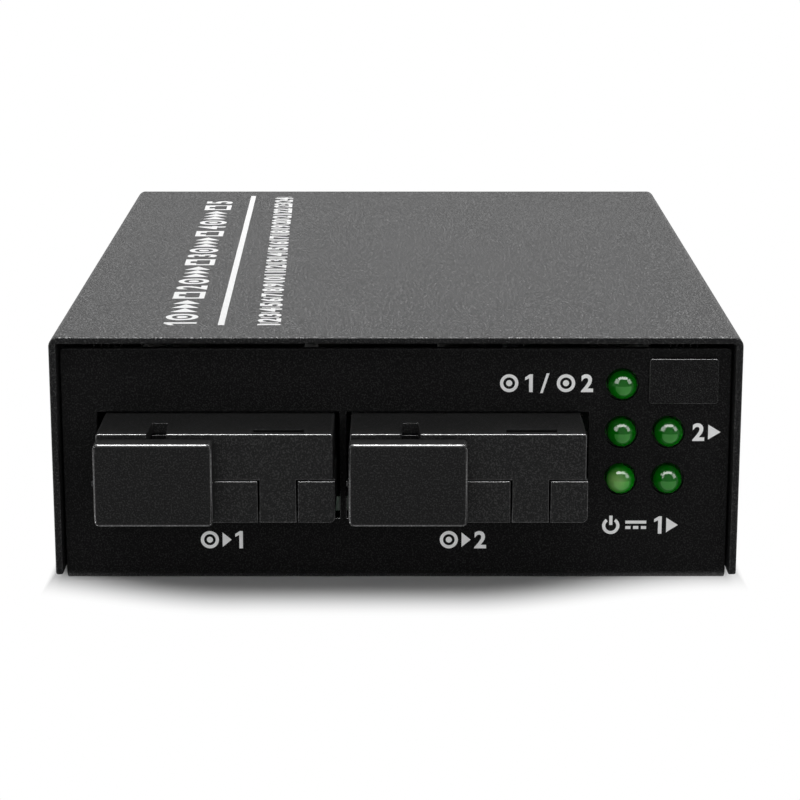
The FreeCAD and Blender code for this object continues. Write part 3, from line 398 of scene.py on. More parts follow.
def rounded(shape, name, width, segments=2, inner=1.0, clamp=True):
    """The shape with its sharp edges rounded and its flat faces left flat.

    Edges away from the front and back get the inner share of the width. Clamping narrows every
    rounding to what the shortest edge allows.
    """
    weights = shape.edges.layers.float.new("bevel_weight_edge")
    ends = [pick(vertex.co.y for vertex in shape.verts) for pick in (min, max)]
    for edge in shape.edges:
        if edge.is_manifold and edge.calc_face_angle() > SHARP:
            at_end = any(all(abs(vertex.co.y - end) < MERGE for vertex in edge.verts) for end in ends)
            edge[weights] = 1.0 if at_end else inner
    mesh = to_mesh(shape, name)
    mesh.shade_smooth()
    piece = shown("rounding", mesh)
    bevel = piece.modifiers.new("Rounding", "BEVEL")
    bevel.width, bevel.segments = width, segments
    bevel.limit_method = "WEIGHT"
    bevel.use_clamp_overlap = clamp
    piece.modifiers.new("Flat faces", "WEIGHTED_NORMAL").weight = FLAT_FACES_FIRST
    return plain(piece)


def keep(name, mesh, finish, body, slot=None, *nodes):
    """Place a finished mesh on its body, standing for CAD nodes if any are named."""
    mesh.name = name
    mesh.materials.clear()
    mesh.materials.append(finish)
    piece = shown(name, mesh)
    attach(piece, body)
    if nodes:
        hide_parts(*nodes)
    return piece


def refine(name, node, finish, slot, width, body="case", look=None, change=None, **rounding):
    """A rounded copy of a CAD node that stands for it, in its slot's finish or another."""
    shape = merged(node)
    if change:
        change(shape)
    mesh = rounded(shape, name, width, **rounding)
    return keep(name, mesh, finish[look or slot], body, slot, node)


def coat_nodes(finish, looks):
    """Give CAD nodes their finishes, named by node."""
    for node, look in looks.items():
        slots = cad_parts[node].material_slots
        if slots:
            slots[0].material = finish[look]
        else:
            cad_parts[node].data.materials.append(finish[look])


def points(places, turns=()):
    """A mesh of loose points, each with the turn of what will stand on it."""
    mesh = bpy.data.meshes.new("points")
    mesh.from_pydata(places, [], [])
    turn = mesh.attributes.new("turn", "FLOAT_VECTOR", "POINT")
    for item, given in zip(turn.data, turns):
        item.vector = given
    return mesh


# ---- printed signs ----


def bend(x, y, radius, angles):
    """Points about a middle at the angles given, in radians."""
    return [(x + radius * math.cos(angle), y + radius * math.sin(angle)) for angle in angles]


def disc(x, y, radius, count=36):
    return bend(x, y, radius, [2 * math.pi * i / count for i in range(count)])


def arc(x, y, outer, inner, start, end, count=24):
    """A band of a ring between two angles in degrees."""
    angles = [math.radians(start + (end - start) * i / count) for i in range(count + 1)]
    return bend(x, y, outer, angles) + bend(x, y, inner, reversed(angles))


def bar(left, low, right, high):
    return [(left, low), (right, low), (right, high), (left, high)]


class Signs:
    """Signs drawn in a row on a flat face, a unit high, and then made one mesh."""

    bolder = 0.03  # how much a number's strokes are thickened
    steps = 6  # divisions of each curve in a number
    weld = 1e-5  # units within which points of a sign are one

    def __init__(self, height, ink):
        self.height, self.ink, self.stretch = height, ink, 1.0
        self.loops, self.figures = [], []

    def loop(self, x, *corners):
        """Add a closed line whose corners are given from x."""
        self.loops.append([(x + across, up) for across, up in corners])

    def fibre(self, x):
        """A ring round a dot: the end of a fibre."""
        self.loops += [disc(x + 0.5, 0.5, 0.5), disc(x + 0.5, 0.5, 0.32), disc(x + 0.5, 0.5, 0.17, 20)]
        return x + 1.0

    def chevron(self, x, width=0.8):
        """A solid arrow head that points along the row."""
        self.loop(x, (0, 0.08), (width, 0.5), (0, 0.92))
        return x + width

    def plug(self, x):
        """A square socket with its latch notch."""
        low, high, step, top = 0.17, 0.98, 0.62, 0.83
        left, right = 0.39, 0.76
        notch = (right, step), (right, top), (left, top), (left, step)
        self.loop(x, (0, 0), (1.15, 0), (1.15, 1), (0, 1))
        self.loop(x, (low, low), (high, low), (high, step), *notch, (low, step))
        return x + 1.15

    def power(self, x):
        """An open ring with an upright bar in its gap."""
        self.loops += [arc(x + 0.5, 0.46, 0.48, 0.3, 125, 415), bar(x + 0.41, 0.5, x + 0.59, 1.04)]
        return x + 1.0

    def direct(self, x):
        """A long bar over three short ones: direct current."""
        self.loops.append(bar(x, 0.58, x + 1.15, 0.75))
        self.loops += [bar(x + 0.43 * step, 0.27, x + 0.43 * step + 0.29, 0.44) for step in range(3)]
        return x + 1.15

    def one(self, x):
        """The number one, with a flag."""
        flag = (0, 0.83), (0, 0.66), (0.22, 0.77)
        self.loop(x, (0.22, 0), (0.42, 0), (0.42, 1), (0.26, 1), *flag)
        return x + 0.42

    def tick(self, x):
        """A thin upright stroke."""
        self.loops.append(bar(x, 0.1, x + 0.1, 0.9))
        return x + 0.1

    def slash(self, x):
        """A leaning stroke, a little taller than the row."""
        self.loop(x, (0, -0.05), (0.15, -0.05), (0.5, 1.05), (0.35, 1.05))
        return x + 0.5

    def figure(self, x, text):
        """A number as high as the row."""
        flat = bpy.data.curves.new("figure", "FONT")
        flat.body, flat.size, flat.offset = text, 1.0, self.bolder
        flat.extrude, flat.fill_mode, flat.resolution_u = 0.5, "BOTH", self.steps
        mesh = plain(shown("figure", flat))
        low = [min(vertex.co[axis] for vertex in mesh.vertices) for axis in (0, 1)]
        high = [max(vertex.co[axis] for vertex in mesh.vertices) for axis in (0, 1)]
        grow = 1 / (high[1] - low[1])
        for vertex in mesh.vertices:
            across, up, deep = vertex.co
            vertex.co = ((across - low[0]) * grow + x, (up - low[1]) * grow, deep)
        self.figures.append(mesh)
        return x + (high[0] - low[0]) * grow

    def draw(self, marks):
        """Draw marks in a row, each given as its name, the gap after it and its own values."""
        x = 0.0
        for mark, gap, *more in marks:
            x = getattr(self, mark)(x, *more) + gap
        return x

    def mesh(self, name, place):
        """All the signs as one closed mesh, put on its face by a matrix."""
        flat = bpy.data.curves.new("signs", "CURVE")
        flat.dimensions, flat.fill_mode, flat.extrude = "2D", "BOTH", 0.5
        for loop in self.loops:
            spline = flat.splines.new("POLY")
            spline.points.add(len(loop) - 1)
            for point, (x, y) in zip(spline.points, loop):
                point.co = (x, y, 0, 1)
            spline.use_cyclic_u = True
        shape = bmesh.new()
        for part in [plain(shown("signs", flat)), *self.figures]:
            shape.from_mesh(part)
        bmesh.ops.remove_doubles(shape, verts=shape.verts, dist=self.weld)
        size = Matrix.Diagonal((self.height * self.stretch, self.height, self.ink, 1))
        rise = Matrix.Translation((0, 0, self.ink / 2))
        shape.transform(place @ rise @ size)
        bmesh.ops.recalc_face_normals(shape, faces=shape.faces)
        return to_mesh(shape, name)


def stood(place, *turn):
    """The matrix that turns a row of signs and puts its start at a place."""
    return Matrix.Translation(place) @ Euler(turn).to_matrix().to_4x4()


# ---- finishes: each maker gives the finish's name and its material ----


def scaled(colour, share):
    """The colour made darker or paler."""
    return tuple(part * share for part in colour)


def speckle(finish, colour, pale, cloud, fleck, level):
    """Cloud a finish from half its colour up to a paler one, and strew it with grey flecks."""
    tone = finish.mix(cloud.clamped(), scaled(colour, 0.5), scaled(colour, pale))
    finish.feed(Base_Color=finish.mix(fleck, tone, (level, level, level)))


def powder_coat(name, colour, size, rough, depth, specular, flecks, rim=0.08, glint=0.0):
    """Black powder coat: an orange-peel grain with paler flecks.

    The rim is how much gloss the coat has where it wraps an edge, and the glint is what the flecks
    add to faces that lay upwards when the powder settled.
    """
    finish = Finish(name, Specular_IOR_Level=specular, Coat_Roughness=0.26, Coat_IOR=1.8)
    grain = finish.noise(size, 3.0, 0.6)
    specks = finish.noise(size * 0.7, 1.0, 0.5, finish.turned(0.5, 0.3, 0.7))
    fleck = finish.ramp(specks, (0.5, 0.0), (0.66, 1.0))
    beads = finish.ramp(specks, (0.54, 0.0), (0.66, 1.0))
    settled = finish.between(finish.facing()[2], 0.8, 0.97, 0.0, 1.0) * beads * glint
    broad = finish.noise(14 * MM)
    speckle(finish, colour, 1.8, grain * 0.7 + broad * 0.3, fleck, flecks)
    finish.feed(Roughness=rough - 0.14 + grain * 0.22 + broad * 0.06)
    finish.feed(Coat_Weight=finish.edges() * (rim + fleck * 0.35) + settled)
    finish.bump(grain * 0.7 + fleck * 0.6, depth)
    return name, finish.material


def moulded(name, colour, size, rough=0.5, specular=0.16, flecks=0.03, rim=0.4):
    """Moulded plastic with the fine spark-eroded grain of its tool, polished a little at its edges."""
    finish = Finish(name, Specular_IOR_Level=specular, Coat_Roughness=0.26, Coat_IOR=2.2)
    grain = finish.noise(size, 3.0, 0.62)
    fleck = finish.ramp(finish.noise(size * 0.75), (0.5, 0.0), (0.66, 1.0))
    flow = finish.noise(5 * MM, place=finish.stretched(1, 0.3, 2.5))
    speckle(finish, colour, 1.9, grain * 0.7 + flow * 0.3, fleck, flecks)
    finish.feed(Roughness=rough - 0.1 + grain * 0.14 + flow * 0.06)
    finish.feed(Coat_Weight=finish.edges() * (rim + fleck * 0.5))
    finish.bump(grain + fleck * 0.5, 0.016 * MM)
    return name, finish.material


def metal(name, colour, rough, stretch=(1, 1, 1), depth=0.002 * MM):
    """Plated metal with drawing lines and faint handling marks."""
    finish = Finish(name, Metallic=1.0, Roughness=rough)
    lines = finish.noise(0.25 * MM, 3.0, 0.6, finish.stretched(*stretch))
    cloud = finish.noise(3 * MM, 3.0)
    tone = finish.mix(lines * 0.5 + cloud * 0.5, scaled(colour, 0.72), colour)
    finish.feed(Base_Color=tone, Roughness=rough - 0.08 + lines * 0.16 + cloud * 0.08)
    finish.bump(lines, depth)
    return name, finish.material


def tinted_lens(name, colour, heart=None, middle=(0, 0, 0), reach=1.5 * MM):
    """Tinted epoxy with painted light, a pale pool on the lower part of its dome; a heart is a paler,
    cloudy middle.
    """
    glow = {"Subsurface_Weight": 0.2, "Subsurface_Scale": 0.5 * MM, "Subsurface_Radius": (0.3, 1.0, 0.3)}
    finish = Finish(name, IOR=1.52, Specular_IOR_Level=0.17, **glow)
    cloud = finish.noise(0.9 * MM)
    _, front, up = finish.facing()
    # painted light: a pale pool on the lower part of the dome, picked by its normal
    painted_light_pool = finish.between(up, 0.06, 0.14, 1.0, 0.0) * finish.between(front, -0.87, -0.81, 1.0, 0.0)
    painted_light_pool = painted_light_pool * (0.7 + cloud * 0.4)
    skin = finish.mix(painted_light_pool.clamped(), colour, (0.045, colour[1] * 2.0, 0.04))
    if heart:
        kind, less = "ShaderNodeVectorMath", {"operation": "SUBTRACT"}
        offset = finish.node(kind, less, {0: finish.place, 1: middle})
        away = finish.value(kind, {"operation": "LENGTH"}, {0: offset}, "Value")
        milk = finish.between(away, reach * 0.2, reach, 0.85, 0.0) * (0.6 + cloud * 0.6)
        skin = finish.mix(milk, skin, heart)
    finish.feed(Base_Color=skin, Roughness=0.05 + cloud * 0.04)
    return name, finish.material


def printed(name, colour):
    """Screen-printed ink, a little uneven over the grain below it."""
    finish = Finish(name, Roughness=0.55, Specular_IOR_Level=0.3)
    grain = finish.noise(0.16 * MM)
    thin = finish.noise(0.6 * MM)
    tone = finish.mix((grain * 0.5 + thin * 0.8).clamped(), scaled(colour, 0.85), colour)
    finish.feed(Base_Color=tone, Roughness=0.5 + grain * 0.15)
    finish.bump(grain, 0.008 * MM)
    return name, finish.material


def solder_mask(name, colour):
    """Circuit board: green mask over copper tracks, with tinned dots."""
    finish = Finish(name, Roughness=0.35)
    track = finish.ramp(finish.cells(2.2 * MM, "DISTANCE_TO_EDGE"), (0.05, 1.0), (0.08, 0.0))
    dots = finish.ramp(finish.cells(1.7 * MM), (0.12, 1.0), (0.16, 0.0))
    weave = finish.noise(0.5 * MM)
    mask = finish.mix((track * 0.8 + weave * 0.2).clamped(), colour, scaled(colour, 2.4))
    tone = finish.mix(dots, mask, (0.55, 0.53, 0.48))
    finish.feed(Base_Color=tone, Roughness=0.34 - dots * 0.1 + weave * 0.08, Metallic=dots)
    finish.bump(track * 0.6 + dots * 0.4 + weave * 0.1, 0.03 * MM)
    return name, finish.material


def shrink_sleeve(name):
    """Dark capacitor sleeve with a pale stripe down one side."""
    finish = Finish(name, Roughness=0.32)
    across = finish.axes(finish.place)[0]
    stripe = finish.ramp((across / MM).sine(), (0.93, 0.0), (0.95, 1.0))
    haze = finish.noise(1.2 * MM)
    tone = finish.mix(stripe, (0.01, 0.012, 0.02), (0.3, 0.32, 0.33))
    finish.feed(Base_Color=tone, Roughness=0.28 + haze * 0.14)
    finish.bump(haze, 0.01 * MM)
    return name, finish.material


def finishes(colours, sizes):
    """Every finish by its name."""
    coat, panel, plastic, lens, pale, ink, board = (
        tuple(getattr(colours, name)) for name in colours.__annotations__
    )
    grain, fine = sizes.coat_grain, sizes.plastic_grain
    nickel, pitch_black = (0.5, 0.485, 0.46), (0.012, 0.012, 0.012)
    heart = middle_of("led_power") + Vector((-0.35, -1.9, 0.1)) * MM
    cover = {"rough": 0.5, "depth": 0.06 * MM, "specular": 0.07, "flecks": 0.022, "glint": 0.64}
    sheet = {"rough": 0.55, "depth": 0.03 * MM, "specular": 0.036, "flecks": 0.016, "rim": 0.3}
    plate = {"rough": 0.5, "depth": 0.04 * MM, "specular": 0.052, "flecks": 0.019, "rim": 0.6}
    made = [
        powder_coat("case_coat", coat, grain, **cover),
        powder_coat("panel_coat", panel, grain * 0.9, **sheet),
        powder_coat("plate_coat", panel, grain * 0.8, **plate),
        moulded("module_plastic", plastic, fine, rough=0.48, specular=0.092, flecks=0.034),
        moulded("cap_plastic", scaled(plastic, 0.85), fine * 1.1, specular=0.079, flecks=0.024, rim=0.5),
        moulded("jack_plastic", (0.012, 0.012, 0.013), 0.3 * MM, rough=0.42, specular=0.4),
        moulded("hook_plastic", (0.02, 0.02, 0.022), 0.3 * MM, rough=0.4, specular=0.4),
        moulded("chip_black", pitch_black, 0.16 * MM, rough=0.6, specular=0.25),
        metal("screw_black", (0.035, 0.035, 0.037), rough=0.42, depth=0.004 * MM),
        metal("screw_steel", (0.42, 0.42, 0.41), rough=0.32),
        metal("standoff_steel", (0.5, 0.47, 0.36), rough=0.36, stretch=(1, 1, 4)),
        metal("barrel_steel", (0.55, 0.54, 0.52), rough=0.28, stretch=(1, 5, 1)),
        metal("shield_steel", nickel, rough=0.3, stretch=(6, 1, 6)),
        metal("can_steel", nickel, rough=0.26),
        metal("pin_gold", (0.93, 0.66, 0.28), rough=0.24),
        metal("lead_tin", (0.68, 0.68, 0.66), rough=0.34),
        solder_mask("board_green", board),
        shrink_sleeve("capacitor_sleeve"),
        tinted_lens("led_green", lens),
        tinted_lens("led_pale", scaled(lens, 1.5), pale, heart),
        printed("ink", ink),
    ]
    return dict(made)


# ---- geometry trees ----


def lens_growth():
    """Indicator: a dome and a round body, with a wider flange at the back."""
    tree = Growth("Indicator")
    outline = {"Radius": 1.6, "Length": 5.3, "Flange_radius": 1.9, "Flange_length": 1.0}
    radius, length, flange, flange_length = tree.sizes(**outline)
    segments = tree.input("Segments", "Int", 48)
    upright = {"Rotation": (math.pi / 2, 0, 0)}
    sphere = {"Segments": segments, "Rings": segments * 0.5, "Radius": radius}
    ball = tree.node("GeometryNodeMeshUVSphere", {}, sphere)
    ball = tree.moved(ball, **upright)
    x, y, z = tree.axes(tree.node("GeometryNodeInputPosition"))
    behind = y > ON_PLANE
    out = behind * (radius / (x * x + z * z).root() - 1.0) + 1.0
    back = behind * ((length - radius) / radius - 1.0) + 1.0
    moved = tree.vector(X=x * out, Y=y * back + radius, Z=z * out)
    body = tree.node("GeometryNodeSetPosition", {}, {"Geometry": ball, "Position": moved})
    shade = tree.node("GeometryNodeSetShadeSmooth", {}, {"Geometry": body, "Shade Smooth": True})
    disk = {"Vertices": segments, "Radius": flange, "Depth": flange_length}
    rim = tree.node("GeometryNodeMeshCylinder", {}, disk)
    middle = tree.vector(Y=length - flange_length * 0.5)
    rim = tree.moved(rim, Translation=middle, **upright)
    whole = tree.gather("GeometryNodeJoinGeometry", {}, "Geometry", rim, shade)
    tree.close(tree.node("GeometryNodeInstanceOnPoints", {}, {"Points": tree.start, "Instance": whole}))
    return tree


def screw_growth(facets=40):
    """Countersunk screw with a cross recess, on each point and turned as the point says."""
    tree = Growth("Countersunk screw")
    head, shank, length = tree.sizes(Head_radius=2.5, Shank_radius=1.5, Length=5.0)
    span, width, depth = tree.sizes(Recess_span=2.8, Recess_width=0.8, Recess_depth=0.9)
    sink = head - shank
    taper = {"Vertices": facets, "Radius Top": head, "Radius Bottom": shank, "Depth": sink}
    cone = tree.node("GeometryNodeMeshCone", {}, taper)
    cone = tree.moved(cone, Translation=tree.vector(Z=sink * -1.0))
    straight = {"Vertices": facets, "Radius": shank, "Depth": length - sink * 0.5}
    rod = tree.node("GeometryNodeMeshCylinder", {}, straight)
    rod = tree.moved(rod, Translation=tree.vector(Z=(length + sink * 0.5) * -0.5))
    cuts = []
    for across, along in ((span, width), (width, span)):
        size = tree.vector(X=across, Y=along, Z=depth * 2.0)
        cuts.append(tree.node("GeometryNodeMeshCube", {}, {"Size": size}))
    solid = {"operation": "UNION", "solver": "EXACT"}
    joined = tree.gather("GeometryNodeMeshBoolean", solid, "Mesh 2", cone, rod)
    cut = tree.gather("GeometryNodeMeshBoolean", {**solid, "operation": "DIFFERENCE"}, "Mesh 2", *cuts)
    tree.join(joined, cut.inputs["Mesh 1"])
    turn = tree.node("GeometryNodeInputNamedAttribute", {"data_type": "FLOAT_VECTOR"}, {"Name": "turn"})
    sockets = {"Points": tree.start, "Instance": cut, "Rotation": turn}
    tree.close(tree.node("GeometryNodeInstanceOnPoints", {}, sockets))
    return tree


# ---- operators ----


class Piece:
    """What every operator of the converter shares."""

    bl_options = {"REGISTER", "UNDO"}

    def execute(self, context):
        scene = context.scene
        self.make(scene.converter_sizes, made_finishes(scene))
        return {"FINISHED"}


def made_finishes(scene):
    """The finishes, made once for a scene."""
    if "converter_finishes" not in scene:
        made = finishes(scene.converter_colours, scene.converter_sizes)
        scene["converter_finishes"] = {slot: material.name for slot, material in made.items()}
    return {slot: bpy.data.materials[name] for slot, name in scene["converter_finishes"].items()}


class CONVERTER_OT_case(Piece, bpy.types.Operator):
    """Folded cover and tray with their coated, slightly rounded edges"""

    bl_idname = "converter.case"
    bl_label = "Case"

    def make(self, sizes, finish):
        def settle(shape):
            """Lower the lid by the ink that lies on it, so that the print stays in the frame's box."""
            for vertex in shape.verts:
                if vertex.co.z > LID_TOP - MERGE:
                    vertex.co.z -= sizes.ink

        edge, thin = sizes.cover_edge, sizes.sheet_edge
        refine("folded_cover", "cover", finish, "case_coat", edge, change=settle, segments=3, clamp=False)
        refine("folded_tray", "chassis_tray", finish, "case_coat", thin, look="panel_coat", clamp=False)
        refine("corner_plate", "blank_plate", finish, "plate_coat", thin, clamp=False)


class CONVERTER_OT_screws(Piece, bpy.types.Operator):
    """Countersunk screws in the sides of the cover"""

    bl_idname = "converter.screws"
    bl_label = "Cover screws"

    def make(self, sizes, finish):
        low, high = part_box("cover_screws")
        head = (high.z - low.z) / 2
        places, turns = [], []
        for x, side in ((low.x, -1), (high.x, 1)):
            for y in (low.y + head, high.y - head):
                places.append((x, y, (low.z + high.z) / 2))
                turns.append((0, side * math.pi / 2, 0))
        mesh = screw_growth().grow(points(places, turns), finish["screw_black"], Head_radius=head)
        shape = bmesh.new()
        shape.from_mesh(mesh)
        name = "countersunk_screws"
        mesh = rounded(shape, name, sizes.metal_edge)
        keep(name, mesh, finish["screw_black"], "case", "screw_black", "cover_screws")


class CONVERTER_OT_transceivers(Piece, bpy.types.Operator):
    """Moulded housings of the two transceivers, with what shows inside their ports"""

    bl_idname = "converter.transceivers"
    bl_label = "Transceivers"

    def make(self, sizes, finish):
        def lean(shape):
            """Run the latch recess back under its rear rim."""
            top = max(vertex.co.z for vertex in shape.verts)
            sunk = [vertex for vertex in shape.verts if abs(top - sizes.latch_sink - vertex.co.z) < MERGE]
            rear = max(vertex.co.y for vertex in sunk)
            for vertex in sunk:
                if vertex.co.y > rear - MERGE:
                    vertex.co.y += sizes.latch_lean

        halves = ("upper", sizes.plastic_edge, lean), ("lower", sizes.plastic_edge * 0.5, None)
        for index in (1, 2):
            node = f"transceiver_{index}"
            for half, edge, change in halves:
                rounding = {"change": change, "inner": 0.1, "clamp": False}
                name = f"housing_{index}_{half}"
                refine(name, f"{node}_{half}", finish, "module_plastic", edge, **rounding)
            refine(f"optical_barrel_{index}", f"{node}_barrel", finish, "barrel_steel", sizes.metal_edge)
            refine(f"latch_hooks_{index}", f"{node}_hooks", finish, "hook_plastic", sizes.metal_edge)
            coat_nodes(finish, {f"{node}_board": "board_green", f"{node}_pins": "pin_gold"})


class CONVERTER_OT_caps(Piece, bpy.types.Operator):
    """Dust caps with the parting line of their mould"""

    bl_idname = "converter.caps"
    bl_label = "Dust caps"

    rise = 0.1 * MM
    half_width = 0.05 * MM
    depth = 0.02 * MM

    def make(self, sizes, finish):
        for index, (node, body) in enumerate(CAPS.items(), 1):
            low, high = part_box(node)
            line = (low.z + high.z) / 2 + self.rise

            def part(shape):
                self.groove(shape, line)

            name, rounding = f"cap_block_{index}", {"inner": 0.15, "clamp": False}
            refine(name, node, finish, "cap_plastic", sizes.plastic_edge, body, change=part, **rounding)

    def groove(self, shape, line):
        """Press a fine groove round the shape at the height given."""
        for height in (line - self.half_width, line, line + self.half_width):
            parts = shape.verts[:] + shape.edges[:] + shape.faces[:]
            plane = {"plane_co": (0, 0, height), "plane_no": (0, 0, 1)}
            bmesh.ops.bisect_plane(shape, geom=parts, dist=ON_PLANE * 0.1, **plane)
        for vertex in shape.verts:
            if abs(vertex.co.z - line) < ON_PLANE and vertex.link_faces:
                inward = sum((face.normal for face in vertex.link_faces), Vector())
                inward.z = 0
                if inward.length > MERGE:
                    vertex.co -= inward.normalized() * self.depth


class CONVERTER_OT_indicators(Piece, bpy.types.Operator):
    """Domed indicators, their holder and wires"""

    bl_idname = "converter.indicators"
    bl_label = "Indicators"

    def make(self, sizes, finish):
        tree = lens_growth()
        for name, slot, nodes in (
            ("green_indicators", "led_green", INDICATORS),
            ("power_indicator", "led_pale", ["led_power"]),
        ):
            places = []
            for node in nodes:
                low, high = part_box(node)
                places.append(((low.x + high.x) / 2, low.y, (low.z + high.z) / 2))
            values = {"Radius": sizes.lens_radius, "Segments": sizes.lens_segments}
            mesh = tree.grow(points(places), finish[slot], **values)
            keep(name, mesh, finish[slot], "case", slot, *nodes)
        coat_nodes(finish, {"led_holder": "hook_plastic", "led_leads": "lead_tin"})


class CONVERTER_OT_legends(Piece, bpy.types.Operator):
    """Printed signs on the front panel: plain numbers, arrows and port signs"""

    bl_idname = "converter.legends"
    bl_label = "Front legends"

    port_height = 3.45 * MM
    port_shifts = {1: 0.0, 2: -0.25 * MM}
    below = 6.1 * MM
    power_shift = 0.5 * MM
    right_of = 2.55 * MM
    left_of = 3.1 * MM
    raised = 0.17 * MM

    def make(self, sizes, finish):
        def sign(name, x, z, share, *marks):
            """Print marks in a row: share is the part of the row that lies left of x."""
            row = Signs(sizes.legend, sizes.ink)
            start = x - share * row.draw(marks) * sizes.legend
            place = stood((start, PANEL_FRONT, z), math.pi / 2, 0, 0)
            keep(name, row.mesh(name, place), finish["ink"], "case")

        half = sizes.legend / 2
        for index, shift in self.port_shifts.items():
            low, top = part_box(f"transceiver_{index}_lower")
            digit = ("one", 0) if index == 1 else ("figure", 0, "2")
            marks = ("fibre", 0.2), ("chevron", 0.2, 0.5), digit
            sign(f"port_sign_{index}", (low.x + top.x) / 2 + shift, self.port_height, 0.5, *marks)
        place, marks = middle_of("led_power"), (("power", 0.3), ("direct", 0))
        sign("power_sign", place.x + self.power_shift, place.z - self.below, 0.5, *marks)
        place, marks = middle_of("led_right_low"), (("one", 0.25), ("chevron", 0, 0.64))
        sign("first_sign", place.x, place.z - self.below, 0.5, *marks)
        place = middle_of("led_right_middle") + Vector((self.right_of, 0, -half))
        sign("second_sign", place.x, place.z, 0.0, ("figure", 0.2, "2"), ("chevron", 0, 0.68))
        place = middle_of("led_left_top") + Vector((-self.left_of, 0, self.raised - half))
        marks = ("fibre", 0.36), ("one", 0.4), ("slash", 0.4), ("fibre", 0.32), ("figure", 0, "2")
        sign("channel_sign", place.x, place.z, 1.0, *marks)


class CONVERTER_OT_lid_print(Piece, bpy.types.Operator):
    """Print on the lid: a bold row of port signs, a rule and a row of plain numbers"""

    bl_idname = "converter.lid_print"
    bl_label = "Lid print"

    margin = 5.9 * MM
    bold, rule, figures = (across * MM for across in (15.1, 18.1, 24.15))
    bold_length = 80.9 * MM
    rule_length, rule_width = 84.4, 0.68
    figure_height = 2.5 * MM
    figures_length = 84.0 * MM
    figures_turn = 1.7

    def make(self, sizes, finish):
        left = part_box("cover")[0].x
        start, top = CASE_FRONT + self.margin, LID_TOP - sizes.ink

        def lay(name, row, across, turn=1.0):
            """Print a row that starts a given way in from the lid's left edge."""
            place = stood((left + across, start, top), 0, 0, math.pi / 2 + sizes.lid_turn * turn)
            keep(name, row.mesh(name, place), finish["ink"], "case")

        row = Signs(sizes.lid_sign, sizes.ink)
        arrow = ("chevron", 0.08, 0.6)
        group = ("fibre", 0.3), arrow, arrow, ("chevron", 0.3, 0.6), ("plug", 0.45)
        marks = [("one", 0.35)]
        for digit in "2345":
            marks += [*group, ("figure", 0.3, digit)]
        row.stretch = self.bold_length / (row.draw(marks) * row.height)
        lay("port_row", row, self.bold)
        line = Signs(1 * MM, sizes.ink)
        line.loops.append(bar(0, 0, self.rule_length, self.rule_width))
        lay("rule", line, self.rule)
        numbers = Signs(self.figure_height, sizes.ink)
        marks = []
        for number in range(1, 25):
            marks += [("figure", 0.14, str(number)), ("tick", 0.16)]
        numbers.stretch = self.figures_length / (numbers.draw(marks) * numbers.height)
        lay("number_row", numbers, self.figures, self.figures_turn)


class CONVERTER_OT_sockets(Piece, bpy.types.Operator):
    """Copper ports and power inlet in the rear panel"""

    bl_idname = "converter.sockets"
    bl_label = "Rear sockets"

    def make(self, sizes, finish):
        for index in (1, 2):
            node = f"copper_port_{index}"
            refine(f"port_shield_{index}", f"{node}_shield", finish, "shield_steel", sizes.metal_edge)
            refine(f"port_insert_{index}", f"{node}_housing", finish, "jack_plastic", sizes.metal_edge)
            coat_nodes(finish, {f"{node}_contacts": "pin_gold"})
        refine("inlet_body", "power_inlet_body", finish, "jack_plastic", sizes.plastic_edge)
        refine("inlet_pin", "power_inlet_pin", finish, "barrel_steel", sizes.metal_edge)
        coat_nodes(finish, {"power_inlet_spring": "shield_steel"})


class CONVERTER_OT_board(Piece, bpy.types.Operator):
    """Main board, its standoffs, screws and parts, which show through the vents"""

    bl_idname = "converter.board"
    bl_label = "Board"

    def make(self, sizes, finish):
        looks = {
            "main_board": "board_green",
            "standoffs": "standoff_steel",
            "board_screws": "screw_steel",
            "crystal": "can_steel",
            "capacitors": "capacitor_sleeve",
        }
        coat_nodes(finish, looks)
        for node in ("switch_chip", "magnetics_first", "magnetics_second", "regulator", "inductor"):
            refine(f"{node}_package", node, finish, "chip_black", sizes.metal_edge)


